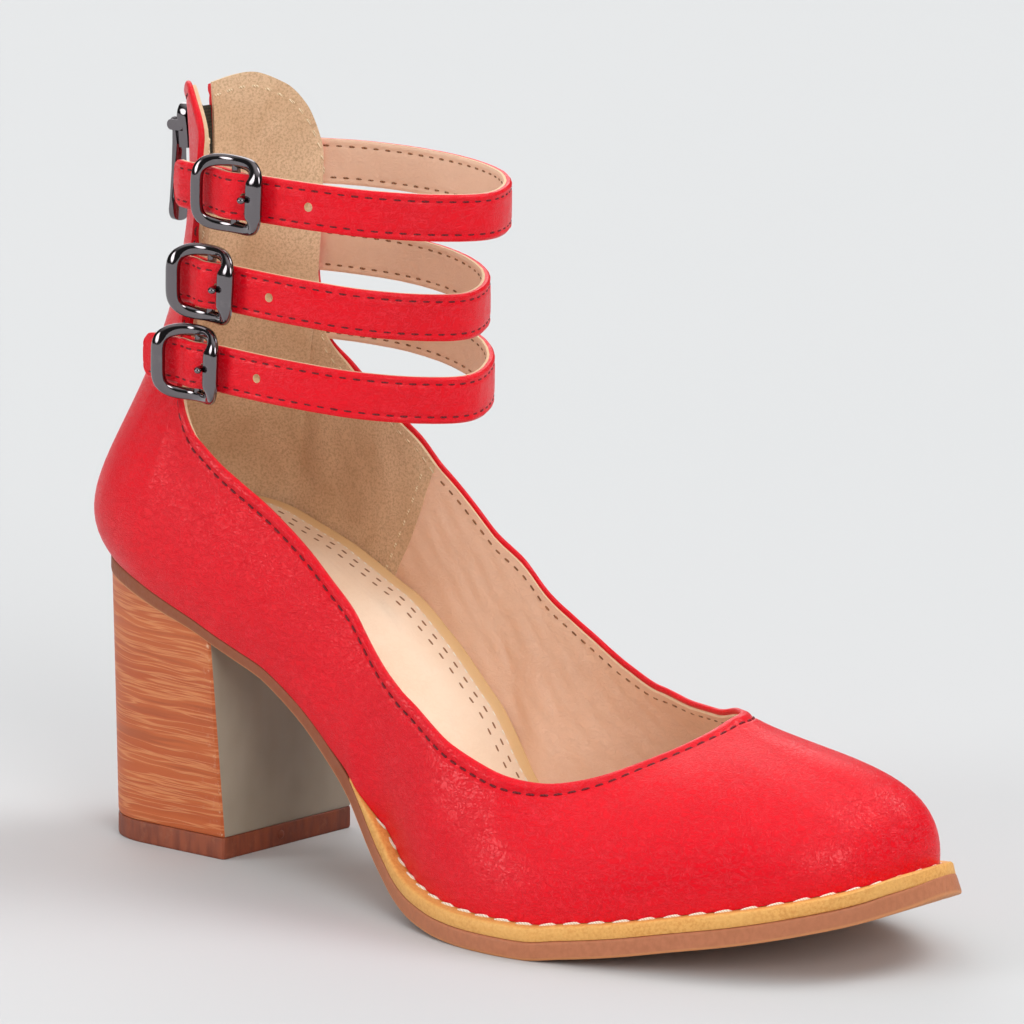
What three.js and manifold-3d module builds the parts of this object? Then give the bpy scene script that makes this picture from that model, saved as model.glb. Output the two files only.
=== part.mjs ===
// An ankle strap pump for the right foot, with a block heel, three buckled straps and a back zip.
// Millimetres, +Z up, toe towards +X. The outer side, with the buckles, is at -Y.
import * as THREE from 'three';
import { mergeVertices } from 'three/addons/utils/BufferGeometryUtils.js';
import Module from 'manifold-3d';

// Main sizes of the shoe
const SOLE_LENGTH = 223;
const BALL_WIDTH = 87;
const HEEL_RISE = 62;
const TOE_SPRING = 16.2;
const INSTEP_RISE = 45;
const SHAFT_RISE = 71;

// Thicknesses and the clearance between pieces that touch
const UPPER_WALL = 1.8;
const OUTSOLE_THICKNESS = 3.9;
const WELT_THICKNESS = 2.6;
const WELT_OVERHANG = 3.2;
const TOE_OVERHANG = 1.8;
const SEAM = 0.3;
const INSOLE_THICKNESS = 4.6;
const HEEL_PADDING = 4.4;

// Block heel
const HEEL_BASE_LENGTH = 41;
const HEEL_BASE_WIDTH = 43.5;
const HEEL_BASE_SETBACK = 4;
const HEEL_SEAT_LENGTH = 47;
const HEEL_INSET = 0.4;
const TOP_LIFT_THICKNESS = 5;

// Straps and buckles
const STRAP_WIDTH = 10.2;
const STRAP_THICKNESS = 2;
const STRAP_LOOP_WIDTH = 57;
const STRAP_REACH = 68;
const STRAP_HOLE = 2;
const CHAPE_WIDTH = 9;
const CHAPE_THICKNESS = 1.5;
const BUCKLE_LENGTH = 20.4;
const BUCKLE_HEIGHT = 17.2;
const BUCKLE_SIDE_BAR = 2.7;
const BUCKLE_FRONT_BAR = 4.2;
const BUCKLE_REAR_BAR = 2.9;
const BUCKLE_THICKNESS = 2.2;
const BUCKLE_CORNER = 4.4;
const CENTRE_BAR = 2;
const PRONG_DIAMETER = 1.5;

// Back zip
const TAPE_THICKNESS = 0.8;
const CHAIN_WIDTH = 2.6;
const CHAIN_THICKNESS = 1.3;
const SLIDER_LENGTH = 10;
const SLIDER_WIDTH = 6.4;
const SLIDER_THICKNESS = 2.6;
const SLIDER_HEIGHT_SHARE = 0.968;
const PULL_LENGTH = 22;
const PULL_WIDTH = 5.4;
const PULL_THICKNESS = 1.4;
const PULL_EYE_WIDTH = 3;
const BRIDGE_PIN = 1.2;
const BRIDGE_CHEEK = 1;
const BRIDGE_REACH = 2.2;
const PATCH_WIDTH = 20;
const PATCH_THICKNESS = 1.2;

// Sole edge seen from above, once round from the heel by the outer side to the toe and back:
// share of the length, share of the ball width.
const SOLE_EDGE = [
  [0.000, 0.000], [0.012, -0.131], [0.042, -0.233], [0.089, -0.299], [0.149, -0.326],
  [0.214, -0.335], [0.280, -0.341], [0.340, -0.343], [0.406, -0.354], [0.462, -0.399],
  [0.527, -0.478], [0.592, -0.526], [0.662, -0.534], [0.732, -0.490], [0.802, -0.422],
  [0.872, -0.346], [0.932, -0.251], [0.974, -0.131], [0.991, 0.000], [0.998, 0.095],
  [0.991, 0.195], [0.951, 0.318], [0.895, 0.394], [0.825, 0.442], [0.755, 0.466],
  [0.685, 0.460], [0.615, 0.418], [0.545, 0.358], [0.476, 0.305], [0.406, 0.269],
  [0.336, 0.263], [0.266, 0.281], [0.205, 0.305], [0.149, 0.317], [0.089, 0.299],
  [0.042, 0.233], [0.012, 0.131],
];

// Line of the sole from the heel to the toe: share of the length, share of the heel rise, share of
// the toe spring, share of the outsole's full thickness.
const SOLE_PROFILE = [
  [0.000, 1.000, 0, 1.00], [0.056, 0.971, 0, 0.96], [0.084, 0.950, 0, 0.92], [0.133, 0.894, 0, 0.78],
  [0.185, 0.834, 0, 0.62], [0.214, 0.794, 0, 0.60], [0.242, 0.760, 0, 0.62], [0.280, 0.710, 0, 0.64],
  [0.308, 0.649, 0, 0.66], [0.340, 0.564, 0, 0.68], [0.370, 0.465, 0, 0.72], [0.401, 0.349, 0, 0.76],
  [0.420, 0.262, 0, 0.80], [0.438, 0.190, 0, 0.84], [0.457, 0.131, 0, 0.88], [0.485, 0.070, 0, 0.94],
  [0.527, 0.029, 0, 1.00], [0.569, 0.007, 0, 1.00], [0.615, 0, 0, 1.00], [0.681, 0, 0, 1.00],
  [0.718, 0, 0.065, 1.00], [0.769, 0, 0.167, 1.00], [0.825, 0, 0.315, 1.00],
  [0.881, 0, 0.463, 1.00], [0.932, 0, 0.630, 1.00], [0.970, 0, 0.778, 1.00], [0.990, 0, 0.900, 1.00],
  [1.000, 0, 1, 1.00],
];

// Topline from the outer zip edge round the throat to the inner zip edge: share of the way round the
// sole edge, share of the length, share of the ball width, share of the instep rise, share of the
// shaft rise. The last two add up to the height over the sole.
const TOPLINE = [
  [0.003, 0.081, -0.026, 1.000, 0.872], [0.012, 0.088, -0.072, 1.000, 0.925],
  [0.022, 0.104, -0.127, 1.000, 0.976], [0.034, 0.126, -0.179, 1.000, 1.015],
  [0.045, 0.149, -0.221, 1.000, 0.989], [0.054, 0.166, -0.245, 1.000, 0.903],
  [0.063, 0.165, -0.256, 1.000, 0.697], [0.072, 0.156, -0.265, 1.000, 0.424],
  [0.083, 0.149, -0.275, 1.000, 0.184], [0.095, 0.156, -0.289, 1.000, 0.066],
  [0.112, 0.186, -0.311, 0.980, 0], [0.132, 0.233, -0.323, 0.931, 0],
  [0.155, 0.291, -0.326, 0.896, 0], [0.182, 0.365, -0.326, 0.907, 0],
  [0.207, 0.419, -0.341, 0.957, 0], [0.232, 0.480, -0.370, 0.963, 0],
  [0.262, 0.548, -0.398, 0.872, 0], [0.292, 0.608, -0.400, 0.802, 0],
  [0.325, 0.653, -0.352, 0.771, 0], [0.358, 0.692, -0.263, 0.808, 0],
  [0.395, 0.722, -0.167, 0.861, 0], [0.440, 0.741, -0.078, 0.912, 0],
  [0.475, 0.752, 0.000, 0.960, 0], [0.509, 0.754, 0.072, 0.995, 0],
  [0.540, 0.747, 0.125, 1.000, 0], [0.575, 0.725, 0.177, 1.000, 0],
  [0.610, 0.690, 0.225, 0.980, 0], [0.645, 0.643, 0.269, 0.972, 0],
  [0.680, 0.592, 0.301, 0.998, 0], [0.712, 0.544, 0.323, 1.000, 0.026],
  [0.742, 0.477, 0.335, 1.000, 0.071], [0.772, 0.420, 0.335, 1.000, 0.037],
  [0.798, 0.361, 0.329, 0.957, 0], [0.826, 0.303, 0.323, 0.982, 0],
  [0.850, 0.266, 0.317, 1.000, 0.036], [0.873, 0.214, 0.311, 1.000, 0.094],
  [0.893, 0.182, 0.307, 1.000, 0.138], [0.908, 0.153, 0.299, 1.000, 0.187],
  [0.921, 0.143, 0.281, 1.000, 0.435], [0.931, 0.149, 0.266, 1.000, 0.689],
  [0.942, 0.154, 0.253, 1.000, 0.815], [0.953, 0.146, 0.227, 1.000, 0.917],
  [0.965, 0.129, 0.185, 1.000, 0.977], [0.977, 0.109, 0.137, 1.000, 0.990],
  [0.988, 0.090, 0.084, 1.000, 0.964], [0.997, 0.081, 0.026, 1.000, 0.938],
];

// How each wall section leaves the sole and meets the topline: share of the way round, outward lean
// at the foot in degrees, pull there as a share of the section's chord, lean and pull at the topline.
const WALL_SECTIONS = [
  [0.000, 48, 0.24, -6, 0.60], [0.035, 42, 0.23, -8, 0.62], [0.060, 33, 0.20, -4, 0.60],
  [0.095, 18, 0.34, 3, 0.33], [0.180, 14, 0.33, 8, 0.33], [0.262, 8, 0.35, 14, 0.33],
  [0.325, 3, 0.40, 40, 0.35], [0.395, 3, 0.38, 68, 0.38], [0.475, 3, 0.35, 77, 0.41],
  [0.509, 8, 0.41, 72, 0.38], [0.575, 0, 0.31, 50, 0.38], [0.645, 5, 0.34, 46, 0.34],
  [0.712, 5, 0.35, 14, 0.33], [0.760, 12, 0.33, -2, 0.33], [0.798, 16, 0.33, -4, 0.33],
  [0.873, 13, 0.30, -4, 0.33], [0.908, 12, 0.30, -2, 0.40], [0.940, 33, 0.20, -4, 0.60],
  [0.965, 42, 0.23, -8, 0.62], [1.000, 48, 0.24, -6, 0.60],
];

// Welt: share of the way round where it starts and ends, and where its full thickness begins and ends.
const WELT_START = 0.203;
const WELT_FULL = 0.226;
const WELT_FULL_END = 0.774;
const WELT_END = 0.797;
const WELT_STEP = 0.015;
const WELT_THINNEST = 0.25;

// Strap route seen from above, from the inner tab round the shin to the buckle: share of the reach
// ahead of the tab, share of half the loop width.
const STRAP_ROUTE = [
  [0.14, 0.93], [0.37, 1.00], [0.60, 0.95], [0.80, 0.75], [0.94, 0.40], [1.00, 0.00],
  [0.94, -0.40], [0.80, -0.75], [0.60, -0.95], [0.37, -1.02], [0.24, -1.00], [0.12, -0.965],
];

// Straps from top to bottom. Heights at the buckle, the shin and the inner tab are shares of the shaft
// rise over the collar. Reach and width are shares of the common loop. Seat is the buckle's share of
// the reach, hole the next free hole's distance in buckle lengths, end and endSide the free end.
const STRAPS = [
  { name: 'top', buckle: 0.753, shin: 0.704, inner: 0.753, reach: 1.015, width: 1.000, seat: 0.312,
    hole: 1.00, end: 0.000, endSide: -0.84 },
  { name: 'middle', buckle: 0.458, shin: 0.385, inner: 0.471, reach: 0.925, width: 0.967, seat: 0.205,
    hole: 0.89, end: -0.030, endSide: -0.89 },
  { name: 'lower', buckle: 0.203, shin: 0.130, inner: 0.249, reach: 0.938, width: 1.015, seat: 0.155,
    hole: 0.94, end: -0.107, endSide: -0.93 },
];

const wasm = await Module();
wasm.setup();

// The value columns of a table at t, through its rows in a smooth curve that never overshoots.
function reader(table) {
  const keys = table.map((row) => row[0]);
  const columns = table[0].slice(1).map((_, column) => table.map((row) => row[column + 1]));
  const slopesOf = (values) => {
    const secants = keys.slice(1).map((key, i) => (values[i + 1] - values[i]) / (key - keys[i]));
    return values.map((_, i) => {
      const before = secants[Math.max(i - 1, 0)];
      const after = secants[Math.min(i, secants.length - 1)];
      return before * after > 0 ? (2 * before * after) / (before + after) : 0;
    });
  };
  const slopes = columns.map(slopesOf);
  return (t) => {
    const clamped = THREE.MathUtils.clamp(t, keys[0], keys[keys.length - 1]);
    const next = Math.max(1, keys.findIndex((key) => key >= clamped));
    const step = keys[next] - keys[next - 1];
    const s = (clamped - keys[next - 1]) / step;
    return columns.map((values, c) => {
      const leaving = (1 + 2 * s) * values[next - 1] + s * step * slopes[c][next - 1];
      const arriving = (3 - 2 * s) * values[next] + (s - 1) * step * slopes[c][next];
      return (1 - s) ** 2 * leaving + s * s * arriving;
    });
  };
}

// Solids are gathered as triangles and turned into one closed geometry that faces out.
function addTriangle(faces, a, b, c) {
  const distinct = !a.equals(b) && !b.equals(c) && !c.equals(a);
  if (distinct) faces.push([a, b, c]);
}

function addSheet(faces, rows) {
  for (let i = 0; i + 1 < rows.length; i += 1) {
    for (let j = 0; j + 1 < rows[i].length; j += 1) {
      addTriangle(faces, rows[i][j], rows[i][j + 1], rows[i + 1][j + 1]);
      addTriangle(faces, rows[i][j], rows[i + 1][j + 1], rows[i + 1][j]);
    }
  }
}

function solidGeometry(faces) {
  const volume = faces.reduce((sum, [a, b, c]) => sum + a.dot(new THREE.Vector3().crossVectors(b, c)), 0);
  const positions = faces.flatMap(([a, b, c]) => {
    const corners = volume > 0 ? [a, b, c] : [a, c, b];
    return corners.flatMap((corner) => corner.toArray());
  });
  const geometry = new THREE.BufferGeometry();
  geometry.setAttribute('position', new THREE.Float32BufferAttribute(positions, 3));
  return mergeVertices(geometry, 1e-5);
}

function manifoldOf(geometry) {
  const bare = new THREE.BufferGeometry();
  bare.setAttribute('position', geometry.getAttribute('position').clone());
  if (geometry.index) bare.setIndex(geometry.index.clone());
  const merged = mergeVertices(bare, 1e-4);
  return new wasm.Manifold(new wasm.Mesh({
    numProp: 3,
    vertProperties: new Float32Array(merged.getAttribute('position').array),
    triVerts: new Uint32Array(merged.index.array),
  }));
}

function geometryOf(manifold) {
  const mesh = manifold.getMesh();
  const geometry = new THREE.BufferGeometry();
  geometry.setAttribute('position', new THREE.BufferAttribute(new Float32Array(mesh.vertProperties), 3));
  geometry.setIndex(new THREE.BufferAttribute(new Uint32Array(mesh.triVerts), 1));
  return geometry;
}

// Sole edge and sole heights
const soleEdge = new THREE.CatmullRomCurve3(
  SOLE_EDGE.map(([along, across]) => new THREE.Vector3(along * SOLE_LENGTH, across * BALL_WIDTH, 0)),
  true,
);
soleEdge.arcLengthDivisions = 2000;

const profileAt = reader(SOLE_PROFILE);

function soleLine(x) {
  const [heelShare, toeShare] = profileAt(x / SOLE_LENGTH);
  return heelShare * HEEL_RISE + toeShare * TOE_SPRING;
}

// The sole's own thickness is set square to its surface, so it is taller where the arch is steep.
function steepness(x) {
  const slope = (soleLine(x + 1) - soleLine(x - 1)) / 2;
  return Math.hypot(1, slope);
}

function outsoleTop(x) {
  return soleLine(x) + OUTSOLE_THICKNESS * steepness(x);
}

function outsoleUnderside(x) {
  const thickness = OUTSOLE_THICKNESS * profileAt(x / SOLE_LENGTH)[2];
  return outsoleTop(x) - thickness * steepness(x);
}

function weltThickness(round) {
  const rising = THREE.MathUtils.smoothstep(round, WELT_START, WELT_FULL);
  const falling = 1 - THREE.MathUtils.smoothstep(round, WELT_FULL_END, WELT_END);
  return WELT_THICKNESS * Math.min(rising, falling);
}

// How far the welt stands out beyond the upper: a little more round the toe, between these turns.
const TOE_WELT_GROWS = [0.36, 0.48];
const TOE_WELT_FADES = [0.6, 0.72];

function weltOverhang(round) {
  const grown = THREE.MathUtils.smoothstep(round, ...TOE_WELT_GROWS);
  const toeShare = grown * (1 - THREE.MathUtils.smoothstep(round, ...TOE_WELT_FADES));
  return (WELT_OVERHANG + TOE_OVERHANG * toeShare) * (weltThickness(round) / WELT_THICKNESS);
}

function outwardAt(round) {
  const tangent = soleEdge.getTangentAt(round);
  return new THREE.Vector3(tangent.y, -tangent.x, 0).normalize();
}

// Where the upper stands on the sole: inside the welt's edge at the front, flush with it at the back.
function footLine(round) {
  const edge = soleEdge.getPointAt(round);
  const weltShare = weltThickness(round) / WELT_THICKNESS;
  const point = edge.clone().addScaledVector(outwardAt(round), -weltOverhang(round));
  const stepUp = THREE.MathUtils.smoothstep(round, WELT_START - WELT_STEP, WELT_START);
  const stepDown = 1 - THREE.MathUtils.smoothstep(round, WELT_END, WELT_END + WELT_STEP);
  const overWelt = Math.min(stepUp, stepDown) * (WELT_THINNEST + SEAM) + weltShare * WELT_THICKNESS;
  point.z = outsoleTop(point.x) + SEAM + overWelt * steepness(point.x);
  return point;
}

// Upper: wall sections stand on the foot line and run up to the topline as single bends.
const toplineAt = reader(TOPLINE);
const wallAt = reader(WALL_SECTIONS);

function toplinePoint(round) {
  const [along, across, instepShare, shaftShare] = toplineAt(round);
  const x = along * SOLE_LENGTH;
  const rise = instepShare * INSTEP_RISE + shaftShare * SHAFT_RISE;
  return new THREE.Vector3(x, across * BALL_WIDTH, soleLine(x) + rise);
}

function leaning(outward, degrees, upwards) {
  const lean = THREE.MathUtils.degToRad(degrees);
  return outward.clone().multiplyScalar(Math.sin(lean)).setZ(upwards * Math.cos(lean));
}

function wallSection(round) {
  const [footLean, footPull, topLean, topPull] = wallAt(round);
  const foot = footLine(round);
  const top = toplinePoint(round);
  const chord = foot.distanceTo(top);
  const outward = outwardAt(round);
  const footHandle = foot.clone().addScaledVector(leaning(outward, footLean, 1), footPull * chord);
  const topHandle = top.clone().addScaledVector(leaning(outward, topLean, -1), topPull * chord);
  return new THREE.CubicBezierCurve3(foot, footHandle, topHandle, top);
}

const UPPER_COLUMNS = 84;
const UPPER_ROWS = 12;
const TAB_CROWDING = 1.5;

// Columns crowd together towards the back, where the tabs turn sharply.
function columnRound(column) {
  const side = (2 * column) / UPPER_COLUMNS - 1;
  const fromToe = 1 - (1 - Math.abs(side)) ** TAB_CROWDING;
  const share = 0.5 + 0.5 * Math.sign(side) * fromToe;
  const ends = TOPLINE[0][0];
  return ends + share * (1 - 2 * ends);
}

function upperOuterRows() {
  const rows = [];
  for (let row = 0; row <= UPPER_ROWS; row += 1) rows.push([]);
  for (let column = 0; column <= UPPER_COLUMNS; column += 1) {
    const section = wallSection(columnRound(column));
    rows.forEach((points, row) => points.push(section.getPoint(row / UPPER_ROWS)));
  }
  return rows;
}

// The inside of the wall lies one wall thickness in, square to the outside. Up the front of the tabs
// the rows run almost along the sections, so the direction at the foot steadies the result.
const FOOT_WEIGHT = 0.4;

function insetRows(rows, inset) {
  const lastRow = rows.length - 1;
  const lastColumn = rows[0].length - 1;
  return rows.map((points, row) => points.map((point, column) => {
    const before = rows[row][Math.max(column - 1, 0)];
    const after = rows[row][Math.min(column + 1, lastColumn)];
    const below = rows[Math.max(row - 1, 0)][column];
    const above = rows[Math.min(row + 1, lastRow)][column];
    const footBefore = rows[0][Math.max(column - 1, 0)];
    const footAfter = rows[0][Math.min(column + 1, lastColumn)];
    const along = new THREE.Vector3().subVectors(after, before).normalize();
    const footAlong = new THREE.Vector3().subVectors(footAfter, footBefore).normalize();
    const up = new THREE.Vector3().subVectors(above, below).normalize();
    const fromFoot = new THREE.Vector3().crossVectors(footAlong, up).normalize();
    const outward = new THREE.Vector3().crossVectors(along, up);
    outward.addScaledVector(fromFoot, FOOT_WEIGHT).normalize();
    if (row === 0) outward.setZ(0).normalize();
    return point.clone().addScaledVector(outward, -inset);
  }));
}

const upperOuter = upperOuterRows();
const upperInner = insetRows(upperOuter, UPPER_WALL);

// The back is open for the zip down to this row and joined below it.
const JOINED_ROWS = 2;

function upperGeometry() {
  const faces = [];
  const column = (rows, index) => rows.map((points) => points[index]);
  const outerFirst = column(upperOuter, 0);
  const outerLast = column(upperOuter, UPPER_COLUMNS);
  const innerFirst = column(upperInner, 0);
  const innerLast = column(upperInner, UPPER_COLUMNS);
  addSheet(faces, upperOuter);
  addSheet(faces, upperInner.map((points) => [...points].reverse()));
  addSheet(faces, [upperOuter[UPPER_ROWS], upperInner[UPPER_ROWS]]);
  addSheet(faces, [upperInner[0], upperOuter[0]]);
  for (let row = 0; row < UPPER_ROWS; row += 1) {
    const next = row + 1;
    if (row < JOINED_ROWS) {
      addSheet(faces, [[outerLast[row], outerFirst[row]], [outerLast[next], outerFirst[next]]]);
      addSheet(faces, [[innerFirst[row], innerLast[row]], [innerFirst[next], innerLast[next]]]);
    } else {
      addSheet(faces, [[innerFirst[row], outerFirst[row]], [innerFirst[next], outerFirst[next]]]);
      addSheet(faces, [[outerLast[row], innerLast[row]], [outerLast[next], innerLast[next]]]);
    }
  }
  const under = JOINED_ROWS;
  addSheet(faces, [[innerLast[0], innerFirst[0]], [outerLast[0], outerFirst[0]]]);
  addSheet(faces, [[outerLast[under], outerFirst[under]], [innerLast[under], innerFirst[under]]]);
  return solidGeometry(faces);
}

// Flat-lying pieces are built from cross sections that run from the outer side to the inner side.
// An edge is a closed loop of points; it gives the two sides at any distance along the shoe.
function loopEdge(points) {
  const start = points.reduce((low, point, i) => (point.x < points[low].x ? i : low), 0);
  const turned = [...points.slice(start), ...points.slice(0, start), points[start]];
  const tip = turned.reduce((high, point, i) => (point.x > turned[high].x ? i : high), 0);
  const sideAt = (side) => (x) => {
    const next = Math.max(1, side.findIndex((point) => point.x >= x));
    const from = side[next - 1];
    const to = side[next] ?? from;
    const share = to.x > from.x ? (x - from.x) / (to.x - from.x) : 0;
    return THREE.MathUtils.lerp(from.y, to.y, THREE.MathUtils.clamp(share, 0, 1));
  };
  return {
    start: turned[0].x,
    finish: turned[tip].x,
    outer: sideAt(turned.slice(0, tip + 1)),
    inner: sideAt(turned.slice(tip).reverse()),
  };
}

// Sections stand close together at both ends, where the outline turns.
function slabGeometry(topEdge, bottomEdge, topHeight, bottomHeight, sections, across) {
  const rowsOf = (edge, heightAt) => {
    const rows = [];
    for (let i = 0; i <= sections; i += 1) {
      const share = (1 - Math.cos((Math.PI * i) / sections)) / 2;
      const x = THREE.MathUtils.lerp(edge.start, edge.finish, share);
      const row = [];
      for (let j = 0; j <= across; j += 1) {
        const y = THREE.MathUtils.lerp(edge.outer(x), edge.inner(x), j / across);
        row.push(new THREE.Vector3(x, y, heightAt(x, y)));
      }
      rows.push(row);
    }
    return rows;
  };
  const top = rowsOf(topEdge, topHeight);
  const bottom = rowsOf(bottomEdge, bottomHeight);
  const faces = [];
  addSheet(faces, top);
  addSheet(faces, bottom.map((row) => [...row].reverse()));
  addSheet(faces, [top.map((row) => row[0]), bottom.map((row) => row[0])]);
  addSheet(faces, [bottom.map((row) => row[across]), top.map((row) => row[across])]);
  addSheet(faces, [bottom[0], top[0]]);
  addSheet(faces, [top[sections], bottom[sections]]);
  return solidGeometry(faces);
}

const EDGE_SAMPLES = 720;

function sampledEdge(pointAt) {
  return loopEdge(Array.from({ length: EDGE_SAMPLES }, (_, i) => pointAt(i / EDGE_SAMPLES)));
}

const soleLoop = sampledEdge((round) => soleEdge.getPointAt(round));
const SOLE_SECTIONS = 72;
const SOLE_ACROSS = 1;

function outsoleGeometry() {
  return slabGeometry(soleLoop, soleLoop, outsoleTop, outsoleUnderside, SOLE_SECTIONS, SOLE_ACROSS);
}

// Welt: a strip round the forefoot between outsole and upper that tapers away at the waist.
const WELT_SECTIONS = 60;

function weltGeometry() {
  const sections = [];
  for (let i = 0; i <= WELT_SECTIONS; i += 1) {
    const round = THREE.MathUtils.lerp(WELT_START, WELT_END, i / WELT_SECTIONS);
    const edge = soleEdge.getPointAt(round);
    const outward = outwardAt(round);
    const width = weltOverhang(round) + UPPER_WALL;
    const thickness = Math.max(WELT_THINNEST, weltThickness(round));
    const inset = edge.clone().addScaledVector(outward, -width);
    const corner = (point, lift) => {
      return new THREE.Vector3(point.x, point.y, outsoleTop(point.x) + SEAM + lift * steepness(point.x));
    };
    sections.push([corner(edge, 0), corner(edge, thickness), corner(inset, thickness), corner(inset, 0)]);
  }
  return sweptGeometry(sections);
}

// A swept piece: closed rings of corners, one after another, with both ends covered.
function sweptGeometry(rings) {
  const faces = [];
  addSheet(faces, rings.map((ring) => [...ring, ring[0]]));
  const cover = (ring) => {
    const centre = new THREE.Vector3();
    ring.forEach((point) => centre.addScaledVector(point, 1 / ring.length));
    ring.forEach((point, i) => addTriangle(faces, point, ring[(i + 1) % ring.length], centre));
  };
  cover([...rings[0]].reverse());
  cover(rings[rings.length - 1]);
  return solidGeometry(faces);
}

// Insole: fills the bottom of the upper, thicker over the heel seat, with its edge on the lining.
function insoleTop(x) {
  const heelShare = 1 - THREE.MathUtils.smoothstep(x, HEEL_SEAT_LENGTH, 2 * HEEL_SEAT_LENGTH);
  const thickness = INSOLE_THICKNESS + HEEL_PADDING * heelShare;
  return outsoleTop(x) + SEAM + thickness * steepness(x);
}

const RISE_LIMIT = 0.5;
const RISE_STEP = 0.005;
const LEAST_UPRIGHT = 0.5;

function liningEdge(height) {
  return (round) => {
    const safe = THREE.MathUtils.clamp(round, TOPLINE[0][0], 1 - TOPLINE[0][0]);
    const section = wallSection(safe);
    const foot = section.v0;
    const level = foot.z + Math.max(0, height(foot.x) - foot.z);
    let share = 0;
    while (share < RISE_LIMIT && section.getPoint(share).z < level) share += RISE_STEP;
    const point = section.getPoint(share);
    const leanHere = section.getTangent(share);
    const wallAcross = UPPER_WALL / Math.max(LEAST_UPRIGHT, Math.abs(leanHere.z));
    return point.addScaledVector(outwardAt(safe), -(wallAcross + 2 * SEAM)).setZ(0);
  };
}

function insoleGeometry() {
  const lower = sampledEdge(liningEdge((x) => outsoleTop(x) + SEAM));
  return slabGeometry(lower, lower, insoleTop, (x) => outsoleTop(x) + SEAM, SOLE_SECTIONS, SOLE_ACROSS);
}

// Block heel: under the heel seat, straight at the breast, tapering to a smaller base.
const HEEL_ROUNDNESS = 2.7;
const HEEL_ROUND_SHARE = 0.45;
const HEEL_SECTIONS = 22;

function clippedEdge(edge, finish, inset) {
  return {
    start: edge.start + inset,
    finish,
    outer: (x) => Math.min(0, edge.outer(x) + inset),
    inner: (x) => Math.max(0, edge.inner(x) - inset),
  };
}

function heelBaseEdge() {
  const half = (x) => {
    const share = Math.min(1, (x - HEEL_BASE_SETBACK) / (HEEL_BASE_LENGTH * HEEL_ROUND_SHARE));
    return (HEEL_BASE_WIDTH / 2) * (1 - (1 - share) ** HEEL_ROUNDNESS) ** (1 / HEEL_ROUNDNESS);
  };
  return {
    start: HEEL_BASE_SETBACK,
    finish: HEEL_BASE_SETBACK + HEEL_BASE_LENGTH,
    outer: (x) => -half(x),
    inner: (x) => half(x),
  };
}

function heelBlockGeometry() {
  const seat = clippedEdge(soleLoop, HEEL_SEAT_LENGTH, HEEL_INSET);
  const underSole = (x) => outsoleUnderside(x) - SEAM;
  const overLift = () => TOP_LIFT_THICKNESS + SEAM;
  return slabGeometry(seat, heelBaseEdge(), underSole, overLift, HEEL_SECTIONS, SOLE_ACROSS);
}

function topLiftGeometry() {
  const base = heelBaseEdge();
  return slabGeometry(base, base, () => TOP_LIFT_THICKNESS, () => 0, HEEL_SECTIONS, SOLE_ACROSS);
}

// Straps: each runs in the wall's own line from the inner tab round the shin, through its buckle and
// on past the outer tab as a free end. Its path carries the buckle, chape and prong.
const TAB_EDGE = toplinePoint(0.083).x;
const COLLAR_HEIGHT = soleLine(TAB_EDGE) + INSTEP_RISE;
const UP = new THREE.Vector3(0, 0, 1);
const OUTER = -1;
const INNER = 1;

function shaftLevel(share) {
  return COLLAR_HEIGHT + share * SHAFT_RISE;
}

// The foremost point of a tab's front edge at a height, on the outer (-1) or the inner (1) side.
function tabEdgeAt(height, side) {
  const crossing = (line) => {
    let column = UPPER_COLUMNS / 2;
    while (line[column].z < height) column += side;
    const low = line[column - side];
    const high = line[column];
    return low.clone().lerp(high, (height - low.z) / (high.z - low.z));
  };
  const outer = crossing(upperOuter[UPPER_ROWS]);
  const inner = crossing(upperInner[UPPER_ROWS]);
  return new THREE.Vector3(Math.max(outer.x, inner.x), (outer.y + inner.y) / 2, height);
}

const PATH_DIVISIONS = 400;
const TAB_JOINT = 0.35;
const STAND_OFF = 0.03;
const TAB_OVERRUN = 4;
const SEAT_FROM = 0.6;
const SEAT_STEP = 0.002;

function strapPath(strap) {
  const reach = strap.reach * STRAP_REACH;
  const halfWidth = (strap.width * STRAP_LOOP_WIDTH) / 2;
  const heightAt = (ahead, endLevel) => {
    const forward = THREE.MathUtils.clamp(ahead, 0, 1) ** 2;
    return shaftLevel(THREE.MathUtils.lerp(endLevel, strap.shin, forward));
  };
  const point = ([ahead, side]) => {
    const endLevel = side > 0 ? strap.inner : strap.buckle;
    return new THREE.Vector3(TAB_EDGE + ahead * reach, side * halfWidth, heightAt(ahead, endLevel));
  };
  const start = tabEdgeAt(shaftLevel(strap.inner), INNER);
  start.x -= TAB_OVERRUN;
  const last = STRAP_ROUTE[STRAP_ROUTE.length - 1];
  const half = [(last[0] + strap.end) / 2, (last[1] + strap.endSide) / 2 - STAND_OFF];
  const points = [start, ...STRAP_ROUTE.map(point), point(half), point([strap.end, strap.endSide])];
  const curve = new THREE.CatmullRomCurve3(points);
  curve.arcLengthDivisions = PATH_DIVISIONS;
  const length = curve.getLength();
  const seatX = TAB_EDGE + strap.seat * reach;
  let seat = SEAT_FROM;
  while (seat < 1 && curve.getPointAt(seat).x > seatX) seat += SEAT_STEP;
  const place = (behind, out, up) => {
    const share = THREE.MathUtils.clamp(seat + behind / length, 0, 1);
    const tangent = curve.getTangentAt(share);
    const outward = new THREE.Vector3(tangent.y, -tangent.x, 0).normalize().multiplyScalar(-1);
    const rise = new THREE.Vector3().crossVectors(outward, tangent).normalize();
    if (rise.z < 0) rise.negate();
    return curve.getPointAt(share).addScaledVector(outward, out).addScaledVector(rise, up);
  };
  return { length, seat, place, before: -seat * length, behind: (1 - seat) * length };
}

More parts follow.
